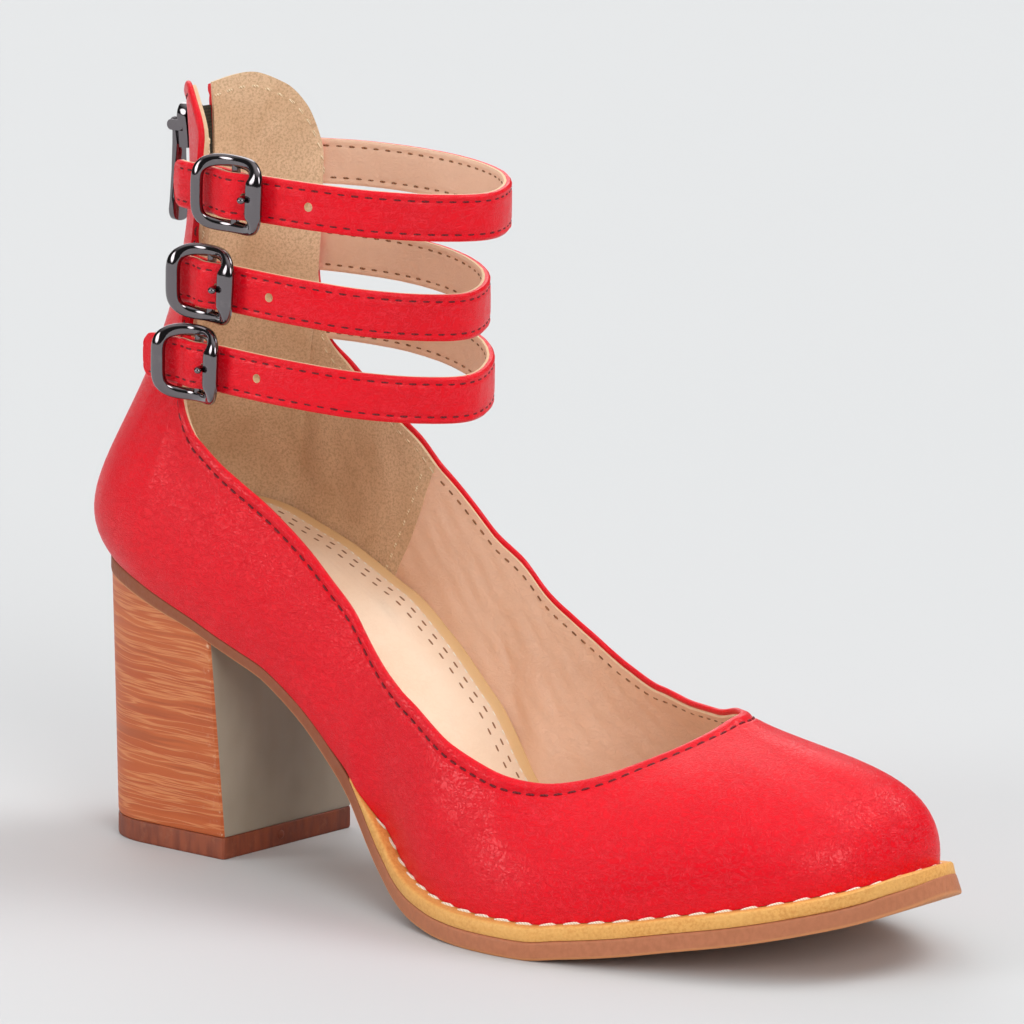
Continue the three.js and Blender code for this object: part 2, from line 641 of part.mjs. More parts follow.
// The strap humps over the centre bar, which sits just inside its line.
const CENTRE_BAR_DEPTH = -0.15;
const HUMP = STRAP_THICKNESS / 2 + CENTRE_BAR / 2 + SEAM + CENTRE_BAR_DEPTH;
const HUMP_SPREAD = 4.6;
const BUCKLE_ARCH = STRAP_THICKNESS / 2 + BUCKLE_THICKNESS / 2 - CENTRE_BAR_DEPTH + 4.5 * SEAM;

function humpAt(behind) {
  return HUMP * Math.exp(-((behind / HUMP_SPREAD) ** 2));
}

const STRAP_SECTIONS = 40;
const BUCKLE_SECTIONS = 14;
const TAIL_SECTIONS = 6;

function strapStations(path, start) {
  const reach = BUCKLE_LENGTH / 2;
  const tail = path.behind - reach;
  const stations = [];
  for (let i = 0; i <= STRAP_SECTIONS; i += 1) {
    stations.push(THREE.MathUtils.lerp(start, -reach, i / STRAP_SECTIONS));
  }
  for (let i = 1; i <= BUCKLE_SECTIONS; i += 1) {
    stations.push(THREE.MathUtils.lerp(-reach, reach, i / BUCKLE_SECTIONS));
  }
  for (let i = 1; i <= TAIL_SECTIONS; i += 1) stations.push(reach + (tail * i) / TAIL_SECTIONS);
  return stations;
}

// The strap begins along the slanting edge of the inner tab: here for its lower or upper edge.
const START_STEP = 0.1;

function strapStart(path, up) {
  let behind = path.before;
  const clearOfTab = (point) => point.x > tabEdgeAt(point.z, INNER).x + TAB_JOINT;
  while (!clearOfTab(path.place(behind, 0, up))) behind += START_STEP;
  return behind;
}

const END_ROUNDING = 2.6;
const HOLE_SIDES = 10;
const DRILL_REACH = 3 * STRAP_THICKNESS;

function strapGeometry(strap, path) {
  const edges = [-1, 1].map((side) => {
    const stations = strapStations(path, strapStart(path, (side * STRAP_WIDTH) / 2));
    return stations.map((behind) => {
      const left = Math.max(0, END_ROUNDING - (path.behind - behind));
      const rounding = END_ROUNDING - Math.sqrt(Math.max(0, END_ROUNDING ** 2 - left ** 2));
      const up = side * (STRAP_WIDTH / 2 - rounding);
      const out = humpAt(behind);
      const thick = STRAP_THICKNESS / 2;
      return [path.place(behind, out - thick, up), path.place(behind, out + thick, up)];
    });
  });
  const [lower, upper] = edges;
  const rings = lower.map(([inside, outside], i) => [inside, outside, upper[i][1], upper[i][0]]);
  const band = manifoldOf(sweptGeometry(rings));
  const holes = [PRONG_HOLE, -strap.hole * BUCKLE_LENGTH].map((behind) => {
    const hole = new THREE.CylinderGeometry(STRAP_HOLE / 2, STRAP_HOLE / 2, 2 * DRILL_REACH, HOLE_SIDES);
    const centre = path.place(behind, humpAt(behind), 0);
    const outward = path.place(behind, 1, 0).sub(path.place(behind, 0, 0)).normalize();
    hole.applyQuaternion(new THREE.Quaternion().setFromUnitVectors(new THREE.Vector3(0, 1, 0), outward));
    hole.translate(centre.x, centre.y, centre.z);
    return manifoldOf(hole);
  });
  return geometryOf(holes.reduce((body, hole) => body.subtract(hole), band));
}

// Buckle: a bowed frame that is wide at the front and narrow at the sides, with a bar across its middle.
const RING_STEPS = 28;
const RING_SECTION = 8;
const OCTAGON_REACH = 1.06;
const END_BAR_SHARPNESS = 4;

// Middle line of the frame, once round: behind the centre bar and up, with the bar's width there.
function frameLine(turn) {
  const angle = 2 * Math.PI * turn;
  const halfLength = (BUCKLE_LENGTH - BUCKLE_SIDE_BAR) / 2;
  const halfHeight = (BUCKLE_HEIGHT - BUCKLE_SIDE_BAR) / 2;
  const sum = Math.abs(Math.cos(angle)) ** BUCKLE_CORNER + Math.abs(Math.sin(angle)) ** BUCKLE_CORNER;
  const reach = sum ** (-1 / BUCKLE_CORNER);
  const behind = halfLength * reach * Math.cos(angle);
  const up = halfHeight * reach * Math.sin(angle);
  const facing = Math.cos(angle) * reach;
  const endBar = facing < 0 ? BUCKLE_FRONT_BAR : BUCKLE_REAR_BAR;
  const width = THREE.MathUtils.lerp(BUCKLE_SIDE_BAR, endBar, Math.abs(facing) ** END_BAR_SHARPNESS);
  return { behind, up, width };
}

function bowAt(behind) {
  const share = behind / ((BUCKLE_LENGTH - BUCKLE_SIDE_BAR) / 2);
  return CENTRE_BAR_DEPTH + BUCKLE_ARCH * share * share;
}

function buckleGeometry(path) {
  const rings = [];
  for (let i = 0; i < RING_STEPS; i += 1) {
    const here = frameLine(i / RING_STEPS);
    const ahead = frameLine((i + 0.5) / RING_STEPS);
    const back = frameLine((i - 0.5) / RING_STEPS);
    const away = new THREE.Vector2(ahead.up - back.up, back.behind - ahead.behind).normalize();
    const ring = [];
    for (let k = 0; k < RING_SECTION; k += 1) {
      const angle = (2 * Math.PI * (k + 0.5)) / RING_SECTION;
      const inwards = (here.width - BUCKLE_SIDE_BAR) / 2;
      const across = (here.width / 2) * Math.cos(angle) * OCTAGON_REACH - inwards;
      const out = (BUCKLE_THICKNESS / 2) * Math.sin(angle) * OCTAGON_REACH;
      const behind = here.behind + away.x * across;
      ring.push(path.place(behind, bowAt(here.behind) + out, here.up + away.y * across));
    }
    rings.push(ring);
  }
  const faces = [];
  addSheet(faces, [...rings, rings[0]].map((ring) => [...ring, ring[0]]));
  const frame = manifoldOf(solidGeometry(faces));
  const bar = barRings(path, (BUCKLE_HEIGHT - BUCKLE_SIDE_BAR) / 2);
  return geometryOf(frame.add(manifoldOf(sweptGeometry(bar))));
}

function barRings(path, halfHeight) {
  return [-halfHeight, halfHeight].map((up) => {
    const ring = [];
    for (let k = 0; k < RING_SECTION; k += 1) {
      const angle = (2 * Math.PI * k) / RING_SECTION;
      const across = (CENTRE_BAR / 2) * Math.cos(angle);
      const out = (CENTRE_BAR / 2) * Math.sin(angle);
      ring.push(path.place(across, CENTRE_BAR_DEPTH + out, up));
    }
    return ring;
  });
}

// Chape: a short strap from the outer tab's edge that hooks under the centre bar and round its front.
const CHAPE_CURVE = CENTRE_BAR / 2 + SEAM + CHAPE_THICKNESS / 2;
const CHAPE_TURNS = [25, 50, 75, 100];

function chapeGeometry(strap, path) {
  const level = shaftLevel(strap.buckle);
  const edge = tabEdgeAt(level, OUTER);
  const centreDepth = CENTRE_BAR_DEPTH - CHAPE_CURVE;
  const half = CHAPE_WIDTH / 2;
  const thick = CHAPE_THICKNESS / 2;
  const underBar = path.place(0, centreDepth, 0);
  const along = new THREE.Vector3().subVectors(underBar, edge).normalize();
  const outward = new THREE.Vector3(along.y, -along.x, 0).normalize();
  const straight = [0, 0.5, 1].map((share) => ({ centre: edge.clone().lerp(underBar, share), outward }));
  const wrapped = CHAPE_TURNS.map((degrees) => {
    const angle = THREE.MathUtils.degToRad(degrees);
    const ahead = -CHAPE_CURVE * Math.sin(angle);
    const centre = path.place(ahead, CENTRE_BAR_DEPTH - CHAPE_CURVE * Math.cos(angle), 0);
    const towardsBar = path.place(0, CENTRE_BAR_DEPTH, 0).sub(centre).normalize();
    return { centre, outward: towardsBar };
  });
  const rings = [...straight, ...wrapped].map(({ centre, outward: out }) => [
    centre.clone().addScaledVector(out, -thick).addScaledVector(UP, -half),
    centre.clone().addScaledVector(out, thick).addScaledVector(UP, -half),
    centre.clone().addScaledVector(out, thick).addScaledVector(UP, half),
    centre.clone().addScaledVector(out, -thick).addScaledVector(UP, half),
  ]);
  rings[0].forEach((corner) => {
    corner.x = tabEdgeAt(corner.z, OUTER).x + TAB_JOINT;
  });
  return sweptGeometry(rings);
}

// Prong: from the front of the centre bar, up through the strap's hole and over the front bar.
const PRONG_HOLE = -4.4;
const PRONG_TOP = BUCKLE_THICKNESS / 2 + SEAM + PRONG_DIAMETER / 2;
const FRONT_BAR_DEPTH = CENTRE_BAR_DEPTH + BUCKLE_ARCH;
const PRONG_SECTIONS = 12;
const PRONG_TIP_FROM = 0.95;
const PRONG_TIP_SIZE = 0.7;

// Its line near the hole: behind the hole's middle, over the strap's middle.
const PRONG_BEND = [[0.5, -2.2], [0.3, -1.9], [0, 0], [-0.4, 1.6]];

// Its line on the front bar: behind the bar's middle, over its resting height.
const PRONG_REST = [[2, -0.1], [0.9, 0]];

function prongGeometry(path) {
  const frontBar = -(BUCKLE_LENGTH / 2 - BUCKLE_FRONT_BAR / 2);
  const bend = PRONG_BEND.map(([behind, over]) => [PRONG_HOLE + behind, humpAt(PRONG_HOLE) + over]);
  const rest = PRONG_REST.map(([behind, over]) => [frontBar + behind, FRONT_BAR_DEPTH + PRONG_TOP + over]);
  const line = [...bend, ...rest].map(([behind, out]) => path.place(behind, out, 0));
  const curve = new THREE.CatmullRomCurve3(line, false, 'centripetal');
  const rings = [];
  for (let i = 0; i <= PRONG_SECTIONS; i += 1) {
    const share = i / PRONG_SECTIONS;
    const centre = curve.getPointAt(share);
    const across = new THREE.Vector3().crossVectors(curve.getTangentAt(share), UP).normalize();
    const radius = (PRONG_DIAMETER / 2) * (share > PRONG_TIP_FROM ? PRONG_TIP_SIZE : 1);
    const ring = [];
    for (let k = 0; k < RING_SECTION; k += 1) {
      const angle = (2 * Math.PI * k) / RING_SECTION;
      const corner = centre.clone().addScaledVector(across, radius * Math.cos(angle));
      ring.push(corner.addScaledVector(UP, radius * Math.sin(angle)));
    }
    rings.push(ring);
  }
  return sweptGeometry(rings);
}

// Back zip: the tape fills the opening between the two back edges, with the closed chain on it.
function backLine() {
  const line = [];
  for (let row = JOINED_ROWS; row <= UPPER_ROWS; row += 1) {
    const outer = upperOuter[row][0];
    const inner = upperInner[row][0];
    const opposite = upperOuter[row][UPPER_COLUMNS];
    const halfGap = Math.min(Math.abs(outer.y), Math.abs(inner.y), Math.abs(opposite.y));
    line.push({
      point: new THREE.Vector3((outer.x + inner.x) / 2, 0, (outer.z + inner.z) / 2),
      outer: new THREE.Vector3(outer.x, 0, outer.z),
      halfGap,
    });
  }
  line.forEach((item, i) => {
    const before = line[Math.max(i - 1, 0)].outer;
    const after = line[Math.min(i + 1, line.length - 1)].outer;
    const along = new THREE.Vector3().subVectors(after, before).normalize();
    item.outward = new THREE.Vector3(-along.z, 0, along.x);
  });
  return line;
}

const zipLine = backLine();
const ZIP_END_GAP = 0.6;

function stripGeometry(centreAt, halfWidthAt, thickness) {
  const lift = ZIP_END_GAP / (zipLine[1].point.z - zipLine[0].point.z);
  const rings = zipLine.map((item, i) => {
    const centre = centreAt(item);
    if (i === 0) centre.lerp(centreAt(zipLine[1]), lift);
    const half = halfWidthAt(item);
    const corner = (out, across) => centre.clone().addScaledVector(item.outward, out).setY(across);
    return [
      corner(-thickness / 2, -half), corner(thickness / 2, -half),
      corner(thickness / 2, half), corner(-thickness / 2, half),
    ];
  });
  return sweptGeometry(rings);
}

function zipTapeGeometry() {
  return stripGeometry((item) => item.point.clone(), (item) => item.halfGap - SEAM, TAPE_THICKNESS);
}

const CHAIN_OUT = TAPE_THICKNESS / 2 + SEAM / 3 + CHAIN_THICKNESS / 2;

function zipChainGeometry() {
  const centreAt = (item) => item.point.clone().addScaledVector(item.outward, CHAIN_OUT + SEAM);
  return stripGeometry(centreAt, () => CHAIN_WIDTH / 2, CHAIN_THICKNESS);
}

// Slider: a waisted body over the chain near the top, with a pin between two cheeks for the pull.
function lineAt(share) {
  const place = share * (zipLine.length - 1);
  const index = Math.min(Math.floor(place), zipLine.length - 2);
  const point = zipLine[index].outer.clone().lerp(zipLine[index + 1].outer, place - index);
  return { point, outward: zipLine[index].outward.clone() };
}

const sliderSeat = lineAt(SLIDER_HEIGHT_SHARE);
const overChain = CHAIN_OUT + CHAIN_THICKNESS / 2 + 4 * SEAM - UPPER_WALL / 2 + SLIDER_THICKNESS / 2;
const sliderOut = Math.max(overChain, SLIDER_THICKNESS / 2 + SEAM);
const sliderFrame = new THREE.Group();
sliderFrame.position.copy(sliderSeat.point).addScaledVector(sliderSeat.outward, sliderOut);
sliderFrame.rotation.y = Math.atan2(-sliderSeat.outward.z, -sliderSeat.outward.x);

// Turns of the slider's outline, as shares of its half width and half length.
const SLIDER_FOOT = 0.75;
const SLIDER_WAIST = 0.8;
const SLIDER_WAIST_LEVEL = -0.2;
const SLIDER_SHOULDER = 0.9;
const SLIDER_SHOULDER_LEVEL = 0.45;
const SLIDER_CROWN = 0.4;
const CURVE_STEPS = 6;

function extruded(shape, depth) {
  const settings = { depth, bevelEnabled: false, curveSegments: CURVE_STEPS };
  const geometry = new THREE.ExtrudeGeometry(shape, settings);
  geometry.translate(0, 0, -depth / 2);
  geometry.rotateX(Math.PI / 2);
  return geometry;
}

function sliderGeometry() {
  const half = SLIDER_LENGTH / 2;
  const wide = SLIDER_WIDTH / 2;
  const waist = half * SLIDER_WAIST_LEVEL;
  const shoulder = half * SLIDER_SHOULDER_LEVEL;
  const outline = new THREE.Shape();
  outline.moveTo(-wide * SLIDER_FOOT, -half);
  outline.lineTo(wide * SLIDER_FOOT, -half);
  outline.quadraticCurveTo(wide * SLIDER_WAIST, waist, wide, shoulder);
  outline.quadraticCurveTo(wide * SLIDER_SHOULDER, half, wide * SLIDER_CROWN, half);
  outline.lineTo(-wide * SLIDER_CROWN, half);
  outline.quadraticCurveTo(-wide * SLIDER_SHOULDER, half, -wide, shoulder);
  outline.quadraticCurveTo(-wide * SLIDER_WAIST, waist, -wide * SLIDER_FOOT, -half);
  const body = extruded(outline, SLIDER_THICKNESS);
  body.rotateZ(Math.PI / 2);
  const reach = SLIDER_THICKNESS / 2 + BRIDGE_REACH;
  const cheekSide = PULL_EYE_WIDTH / 2 + SEAM + BRIDGE_CHEEK / 2;
  const lug = new THREE.Shape();
  lug.moveTo(0, -BRIDGE_PIN);
  lug.lineTo(-reach, -BRIDGE_PIN);
  lug.absarc(-reach, 0, BRIDGE_PIN, -Math.PI / 2, Math.PI / 2, true);
  lug.lineTo(0, BRIDGE_PIN);
  const cheeks = [-1, 1].map((side) => {
    const cheek = extruded(lug, BRIDGE_CHEEK);
    cheek.translate(0, side * cheekSide, 0);
    return manifoldOf(cheek);
  });
  const pin = new THREE.CylinderGeometry(BRIDGE_PIN / 2, BRIDGE_PIN / 2, 2 * cheekSide, 2 * CURVE_STEPS);
  pin.translate(-reach, 0, 0);
  const pieces = [...cheeks, manifoldOf(pin)];
  return geometryOf(pieces.reduce((whole, piece) => whole.add(piece), manifoldOf(body)));
}

// Pull: an eye round the slider's pin and a plate that widens downwards and hangs free.
const EYE_BORE = BRIDGE_PIN / 2 + SEAM;
const EYE_WALL = 0.8;
const PLATE_UNDER_BORE = 0.2;
const PLATE_BEND = 0.5;

function pullGeometry() {
  const eyeShape = new THREE.Shape();
  eyeShape.absarc(0, 0, EYE_BORE + EYE_WALL, 0, 2 * Math.PI, false);
  const bore = new THREE.Path();
  bore.absarc(0, 0, EYE_BORE, 0, 2 * Math.PI, true);
  eyeShape.holes.push(bore);
  const eye = extruded(eyeShape, PULL_EYE_WIDTH);
  const top = -(EYE_BORE + PLATE_UNDER_BORE);
  const neck = PULL_EYE_WIDTH / 2;
  const wide = PULL_WIDTH / 2;
  const bend = -PULL_LENGTH * PLATE_BEND;
  const plateShape = new THREE.Shape();
  plateShape.moveTo(-neck, top);
  plateShape.quadraticCurveTo(-neck, bend, -wide, -PULL_LENGTH + wide);
  plateShape.quadraticCurveTo(-wide, -PULL_LENGTH, 0, -PULL_LENGTH);
  plateShape.quadraticCurveTo(wide, -PULL_LENGTH, wide, -PULL_LENGTH + wide);
  plateShape.quadraticCurveTo(neck, bend, neck, top);
  const plate = extruded(plateShape, PULL_THICKNESS);
  plate.rotateZ(Math.PI / 2);
  return geometryOf(manifoldOf(eye).add(manifoldOf(plate)));
}

// Patch: a small leather cover over the foot of the zip.
const PATCH_FROM = 0.06;
const PATCH_TO = 0.165;
const PATCH_COLUMNS = 8;
const PATCH_ROWS = 4;

function patchGeometry() {
  const halfTurn = PATCH_WIDTH / 2 / soleEdge.getLength();
  const rows = [];
  for (let row = 0; row <= PATCH_ROWS; row += 1) {
    const share = THREE.MathUtils.lerp(PATCH_FROM, PATCH_TO, row / PATCH_ROWS);
    const points = [];
    for (let column = 0; column <= PATCH_COLUMNS; column += 1) {
      const turn = THREE.MathUtils.lerp(-halfTurn, halfTurn, column / PATCH_COLUMNS);
      const round = Math.max(Math.abs(turn), TOPLINE[0][0]) * (turn < 0 ? -1 : 1);
      const point = wallSection((round + 1) % 1).getPoint(share);
      points.push(Math.abs(turn) < TOPLINE[0][0] ? point.setY(0) : point);
    }
    rows.push(points);
  }
  const outer = insetRows(rows, -(SEAM + PATCH_THICKNESS));
  const inner = insetRows(rows, -SEAM);
  const column = (grid, index) => grid.map((points) => points[index]);
  const faces = [];
  addSheet(faces, outer);
  addSheet(faces, inner.map((points) => [...points].reverse()));
  addSheet(faces, [outer[PATCH_ROWS], inner[PATCH_ROWS]]);
  addSheet(faces, [inner[0], outer[0]]);
  addSheet(faces, [column(outer, 0), column(inner, 0)]);
  addSheet(faces, [column(inner, PATCH_COLUMNS), column(outer, PATCH_COLUMNS)]);
  return solidGeometry(faces);
}

// Colours of the real materials
const red = new THREE.MeshStandardMaterial({ color: 0xc81226, roughness: 0.45, metalness: 0 });
const tan = new THREE.MeshStandardMaterial({ color: 0xd99a4a, roughness: 0.7, metalness: 0 });
const brown = new THREE.MeshStandardMaterial({ color: 0xa8694d, roughness: 0.7, metalness: 0 });
const wood = new THREE.MeshStandardMaterial({ color: 0xb4642f, roughness: 0.55, metalness: 0 });
const darkBrown = new THREE.MeshStandardMaterial({ color: 0x7c3f28, roughness: 0.6, metalness: 0 });
const peach = new THREE.MeshStandardMaterial({ color: 0xe6c7a6, roughness: 0.8, metalness: 0 });
const olive = new THREE.MeshStandardMaterial({ color: 0x3c3a2c, roughness: 0.85, metalness: 0 });
const gunmetal = new THREE.MeshStandardMaterial({ color: 0x4a4548, roughness: 0.15, metalness: 1 });

const shoe = new THREE.Group();

function addPiece(name, geometry, material) {
  const mesh = new THREE.Mesh(geometry, material);
  mesh.name = name;
  shoe.add(mesh);
  return mesh;
}

addPiece('outsole', outsoleGeometry(), brown);
addPiece('welt', weltGeometry(), tan);
addPiece('upper', upperGeometry(), red);
addPiece('insole', insoleGeometry(), peach);
addPiece('heel_block', heelBlockGeometry(), wood);
addPiece('top_lift', topLiftGeometry(), darkBrown);

STRAPS.forEach((strap) => {
  const path = strapPath(strap);
  addPiece(`strap_${strap.name}`, strapGeometry(strap, path), red);
  addPiece(`chape_${strap.name}`, chapeGeometry(strap, path), red);
  addPiece(`buckle_${strap.name}`, buckleGeometry(path), gunmetal);
  addPiece(`prong_${strap.name}`, prongGeometry(path), gunmetal);
});
addPiece('zip_tape', zipTapeGeometry(), olive);
addPiece('zip_chain', zipChainGeometry(), gunmetal);
addPiece('zip_patch', patchGeometry(), red);

const slider = new THREE.Mesh(sliderGeometry(), gunmetal);
slider.name = 'zip_slider';
const pull = new THREE.Mesh(pullGeometry(), gunmetal);
pull.name = 'zip_pull';
pull.position.set(-(SLIDER_THICKNESS / 2 + BRIDGE_REACH), 0, 0);
pull.rotation.y = -sliderFrame.rotation.y;
sliderFrame.add(slider, pull);
shoe.add(sliderFrame);

// The shoe stands on z = 0 with the middle of its footprint at the origin.
const box = new THREE.Box3().setFromObject(shoe);
shoe.position.set(-(box.min.x + box.max.x) / 2, -(box.min.y + box.max.y) / 2, -box.min.z);

export default shoe;
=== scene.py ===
import math

import bmesh
import bpy
import numpy as np
from mathutils import Matrix, Vector


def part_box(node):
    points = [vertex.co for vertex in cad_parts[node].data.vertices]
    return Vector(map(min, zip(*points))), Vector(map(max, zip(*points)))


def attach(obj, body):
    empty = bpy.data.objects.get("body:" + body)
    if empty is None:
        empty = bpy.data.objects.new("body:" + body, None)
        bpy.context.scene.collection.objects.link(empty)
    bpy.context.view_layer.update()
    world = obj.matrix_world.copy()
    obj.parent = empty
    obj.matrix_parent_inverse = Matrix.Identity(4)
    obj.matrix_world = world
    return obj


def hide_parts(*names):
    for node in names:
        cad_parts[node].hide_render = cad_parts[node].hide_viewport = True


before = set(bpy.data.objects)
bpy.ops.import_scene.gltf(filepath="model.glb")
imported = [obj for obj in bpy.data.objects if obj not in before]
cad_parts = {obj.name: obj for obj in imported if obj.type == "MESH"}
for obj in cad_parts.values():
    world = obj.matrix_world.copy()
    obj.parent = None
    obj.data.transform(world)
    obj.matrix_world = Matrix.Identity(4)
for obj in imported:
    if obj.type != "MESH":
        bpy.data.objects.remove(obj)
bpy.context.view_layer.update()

# Outsole: brown sole leather, cut to the shoe's outline and cemented under the welt and the upper.
# It is thin at the waist and full under the ball of the foot, with a trimmed, polished edge.
# Lengths are millimetres from the back of the sole (x), towards the inner side (y) and up (z).
SOLE_LENGTH = 223.0
BALL_WIDTH = 87.0
HEEL_RISE = 62.0
TOE_SPRING = 16.2
OUTSOLE_THICKNESS = 3.9
SEAM = 0.3
TIP_FLARE = 1.5
TIP_TURN = 0.535
TIP_SPREAD = 0.035
SOLE_EDGE = np.array([
    [0.000, 0.000], [0.012, -0.131], [0.042, -0.233], [0.089, -0.299], [0.149, -0.326],
    [0.214, -0.335], [0.280, -0.341], [0.340, -0.343], [0.406, -0.354], [0.462, -0.399],
    [0.527, -0.478], [0.592, -0.526], [0.662, -0.534], [0.732, -0.490], [0.802, -0.422],
    [0.872, -0.346], [0.932, -0.251], [0.974, -0.131], [0.991, 0.000], [0.998, 0.095],
    [0.991, 0.195], [0.951, 0.318], [0.895, 0.394], [0.825, 0.442], [0.755, 0.466],
    [0.685, 0.460], [0.615, 0.418], [0.545, 0.358], [0.476, 0.305], [0.406, 0.269],
    [0.336, 0.263], [0.266, 0.281], [0.205, 0.305], [0.149, 0.317], [0.089, 0.299],
    [0.042, 0.233], [0.012, 0.131],
])
SOLE_PROFILE = np.array([
    [0.000, 1.000, 0, 1.00], [0.056, 0.971, 0, 0.96], [0.084, 0.950, 0, 0.92], [0.133, 0.894, 0, 0.78],
    [0.185, 0.834, 0, 0.62], [0.214, 0.794, 0, 0.60], [0.242, 0.760, 0, 0.62], [0.280, 0.710, 0, 0.64],
    [0.308, 0.649, 0, 0.66], [0.340, 0.564, 0, 0.68], [0.370, 0.465, 0, 0.72], [0.401, 0.349, 0, 0.76],
    [0.420, 0.262, 0, 0.80], [0.438, 0.190, 0, 0.84], [0.457, 0.131, 0, 0.88], [0.485, 0.070, 0, 0.94],
    [0.527, 0.029, 0, 1.00], [0.569, 0.007, 0, 1.00], [0.615, 0, 0, 1.00], [0.681, 0, 0, 1.00],
    [0.718, 0, 0.065, 1.00], [0.769, 0, 0.167, 1.00], [0.825, 0, 0.315, 1.00],
    [0.881, 0, 0.463, 1.00], [0.932, 0, 0.630, 1.00], [0.970, 0, 0.778, 1.00], [0.990, 0, 0.900, 1.00],
    [1.000, 0, 1, 1.00],
])


def smooth_curve(points, closed, steps=60):
    """A line through the points: each span is a cubic whose end slopes come from the chords on both
    sides, weighted by the square roots of their lengths."""
    points = np.asarray(points, float)
    if closed:
        p = [np.roll(points, k, axis=0) for k in (1, 0, -1, -2)]
    else:
        longer = np.vstack([2 * points[0] - points[1], points, 2 * points[-1] - points[-2]])
        p = [longer[k:len(points) - 1 + k] for k in range(4)]
    d = [np.sqrt(np.linalg.norm(p[k + 1] - p[k], axis=1))[:, None] for k in range(3)]
    leave = ((p[1] - p[0]) / d[0] - (p[2] - p[0]) / (d[0] + d[1]) + (p[2] - p[1]) / d[1]) * d[1]
    arrive = ((p[2] - p[1]) / d[1] - (p[3] - p[1]) / (d[1] + d[2]) + (p[3] - p[2]) / d[2]) * d[1]
    s = (np.arange(steps) / steps)[None, :, None]
    line = (2 * s**3 - 3 * s**2 + 1) * p[1][:, None] + (s**3 - 2 * s**2 + s) * leave[:, None]
    line = line + (3 * s**2 - 2 * s**3) * p[2][:, None] + (s**3 - s**2) * arrive[:, None]
    return np.vstack([line.reshape(-1, points.shape[1]), points[:1] if closed else points[-1:]])


def lengths_along(line):
    """The length of a line up to each of its points."""
    return np.concatenate([[0], np.cumsum(np.linalg.norm(np.diff(line, axis=0), axis=1))])


def read_along(values, lengths, places):
    """Columns that are known at some lengths, read at other places."""
    return np.stack([np.interp(places, lengths, values[:, k]) for k in range(values.shape[1])], axis=-1)


def at_share(line, share):
    """Points of a line at shares of its whole length."""
    lengths = lengths_along(line)
    return read_along(line, lengths, np.asarray(share) * lengths[-1])


def table_at(table, place):
    """The table's columns at any place: cubics whose slope at a row is the harmonic mean of the
    slopes before and after it, or level where the values turn."""
    keys, values = table[:, 0], table[:, 1:]
    secants = np.diff(values, axis=0) / np.diff(keys)[:, None]
    before, after = np.vstack([secants[:1], secants]), np.vstack([secants, secants[-1:]])
    both = before * after
    slopes = np.where(both > 0, 2 * both / np.where(before + after == 0, 1, before + after), 0)
    place = np.clip(place, keys[0], keys[-1])
    span = np.clip(np.searchsorted(keys, place), 1, len(keys) - 1)
    step = (keys[span] - keys[span - 1])[..., None]
    s = (place - keys[span - 1])[..., None] / step
    leaving = (1 + 2 * s) * (1 - s) ** 2 * values[span - 1] + s * (1 - s) ** 2 * step * slopes[span - 1]
    arriving = s * s * (3 - 2 * s) * values[span] + s * s * (s - 1) * step * slopes[span]
    return np.moveaxis(leaving + arriving, -1, 0)


def sole_line(x):
    """Height of the sole's line: shares of the heel rise and of the toe spring."""
    heel_share, toe_share, _ = table_at(SOLE_PROFILE, np.asarray(x) / SOLE_LENGTH)
    return heel_share * HEEL_RISE + toe_share * TOE_SPRING


def steepness(x):
    """Length of the sole's slope for one millimetre along, so a thickness stays square to it."""
    return np.hypot(1, (sole_line(np.asarray(x) + 4) - sole_line(np.asarray(x) - 4)) / 8)


def outsole_top(x):
    """Height of the outsole's upper face: its thickness, set square, over the sole's line."""
    return sole_line(x) + OUTSOLE_THICKNESS * steepness(x)


def outsole_underside(x):
    """Height of the outsole's lower face: the table's share of the thickness under its upper face."""
    share = table_at(SOLE_PROFILE, np.asarray(x) / SOLE_LENGTH)[2]
    return outsole_top(x) - OUTSOLE_THICKNESS * share * steepness(x)


sole_loop = smooth_curve(SOLE_EDGE * [SOLE_LENGTH, BALL_WIDTH], closed=True)


def sole_edge(turn):
    """The sole's outline at a share of the way round: from the back by the outer side to the toe."""
    return at_share(sole_loop, np.mod(turn, 1))


def unit(vectors):
    """Vectors brought to length 1."""
    return vectors / np.maximum(np.linalg.norm(vectors, axis=-1, keepdims=True), 1e-9)


def outward_at(turn):
    """Direction square to the outline, away from the shoe."""
    ahead = sole_edge(np.asarray(turn) + 0.0005) - sole_edge(np.asarray(turn) - 0.0005)
    return unit(np.stack([ahead[..., 1], -ahead[..., 0], 0 * ahead[..., 0]], axis=-1))


def tip_draw(turn):
    """How far the upper edge at the toe's tip is drawn in: a bell over the turns near the tip."""
    return TIP_FLARE * np.exp(-((turn - TIP_TURN) / TIP_SPREAD) ** 2)


def ring_faces(stations, around, looped=False):
    """Quads of a closed ring of corners carried through stations. Each open end is covered by quads
    between corners that face each other across the ring."""
    i = np.arange(stations if looped else stations - 1)[:, None]
    j = np.arange(around)[None, :]
    ahead, beside = (i + 1) % stations, (j + 1) % around
    quads = np.stack([i * around + j, i * around + beside, ahead * around + beside, ahead * around + j], -1)
    quads = quads.reshape(-1, 4)
    if looped:
        return quads
    p = np.arange(around // 2 - 1)
    cover = np.stack([p, around - 1 - p, around - 2 - p, p + 1], -1)
    return np.vstack([quads, cover, (cover + (stations - 1) * around)[:, ::-1]])


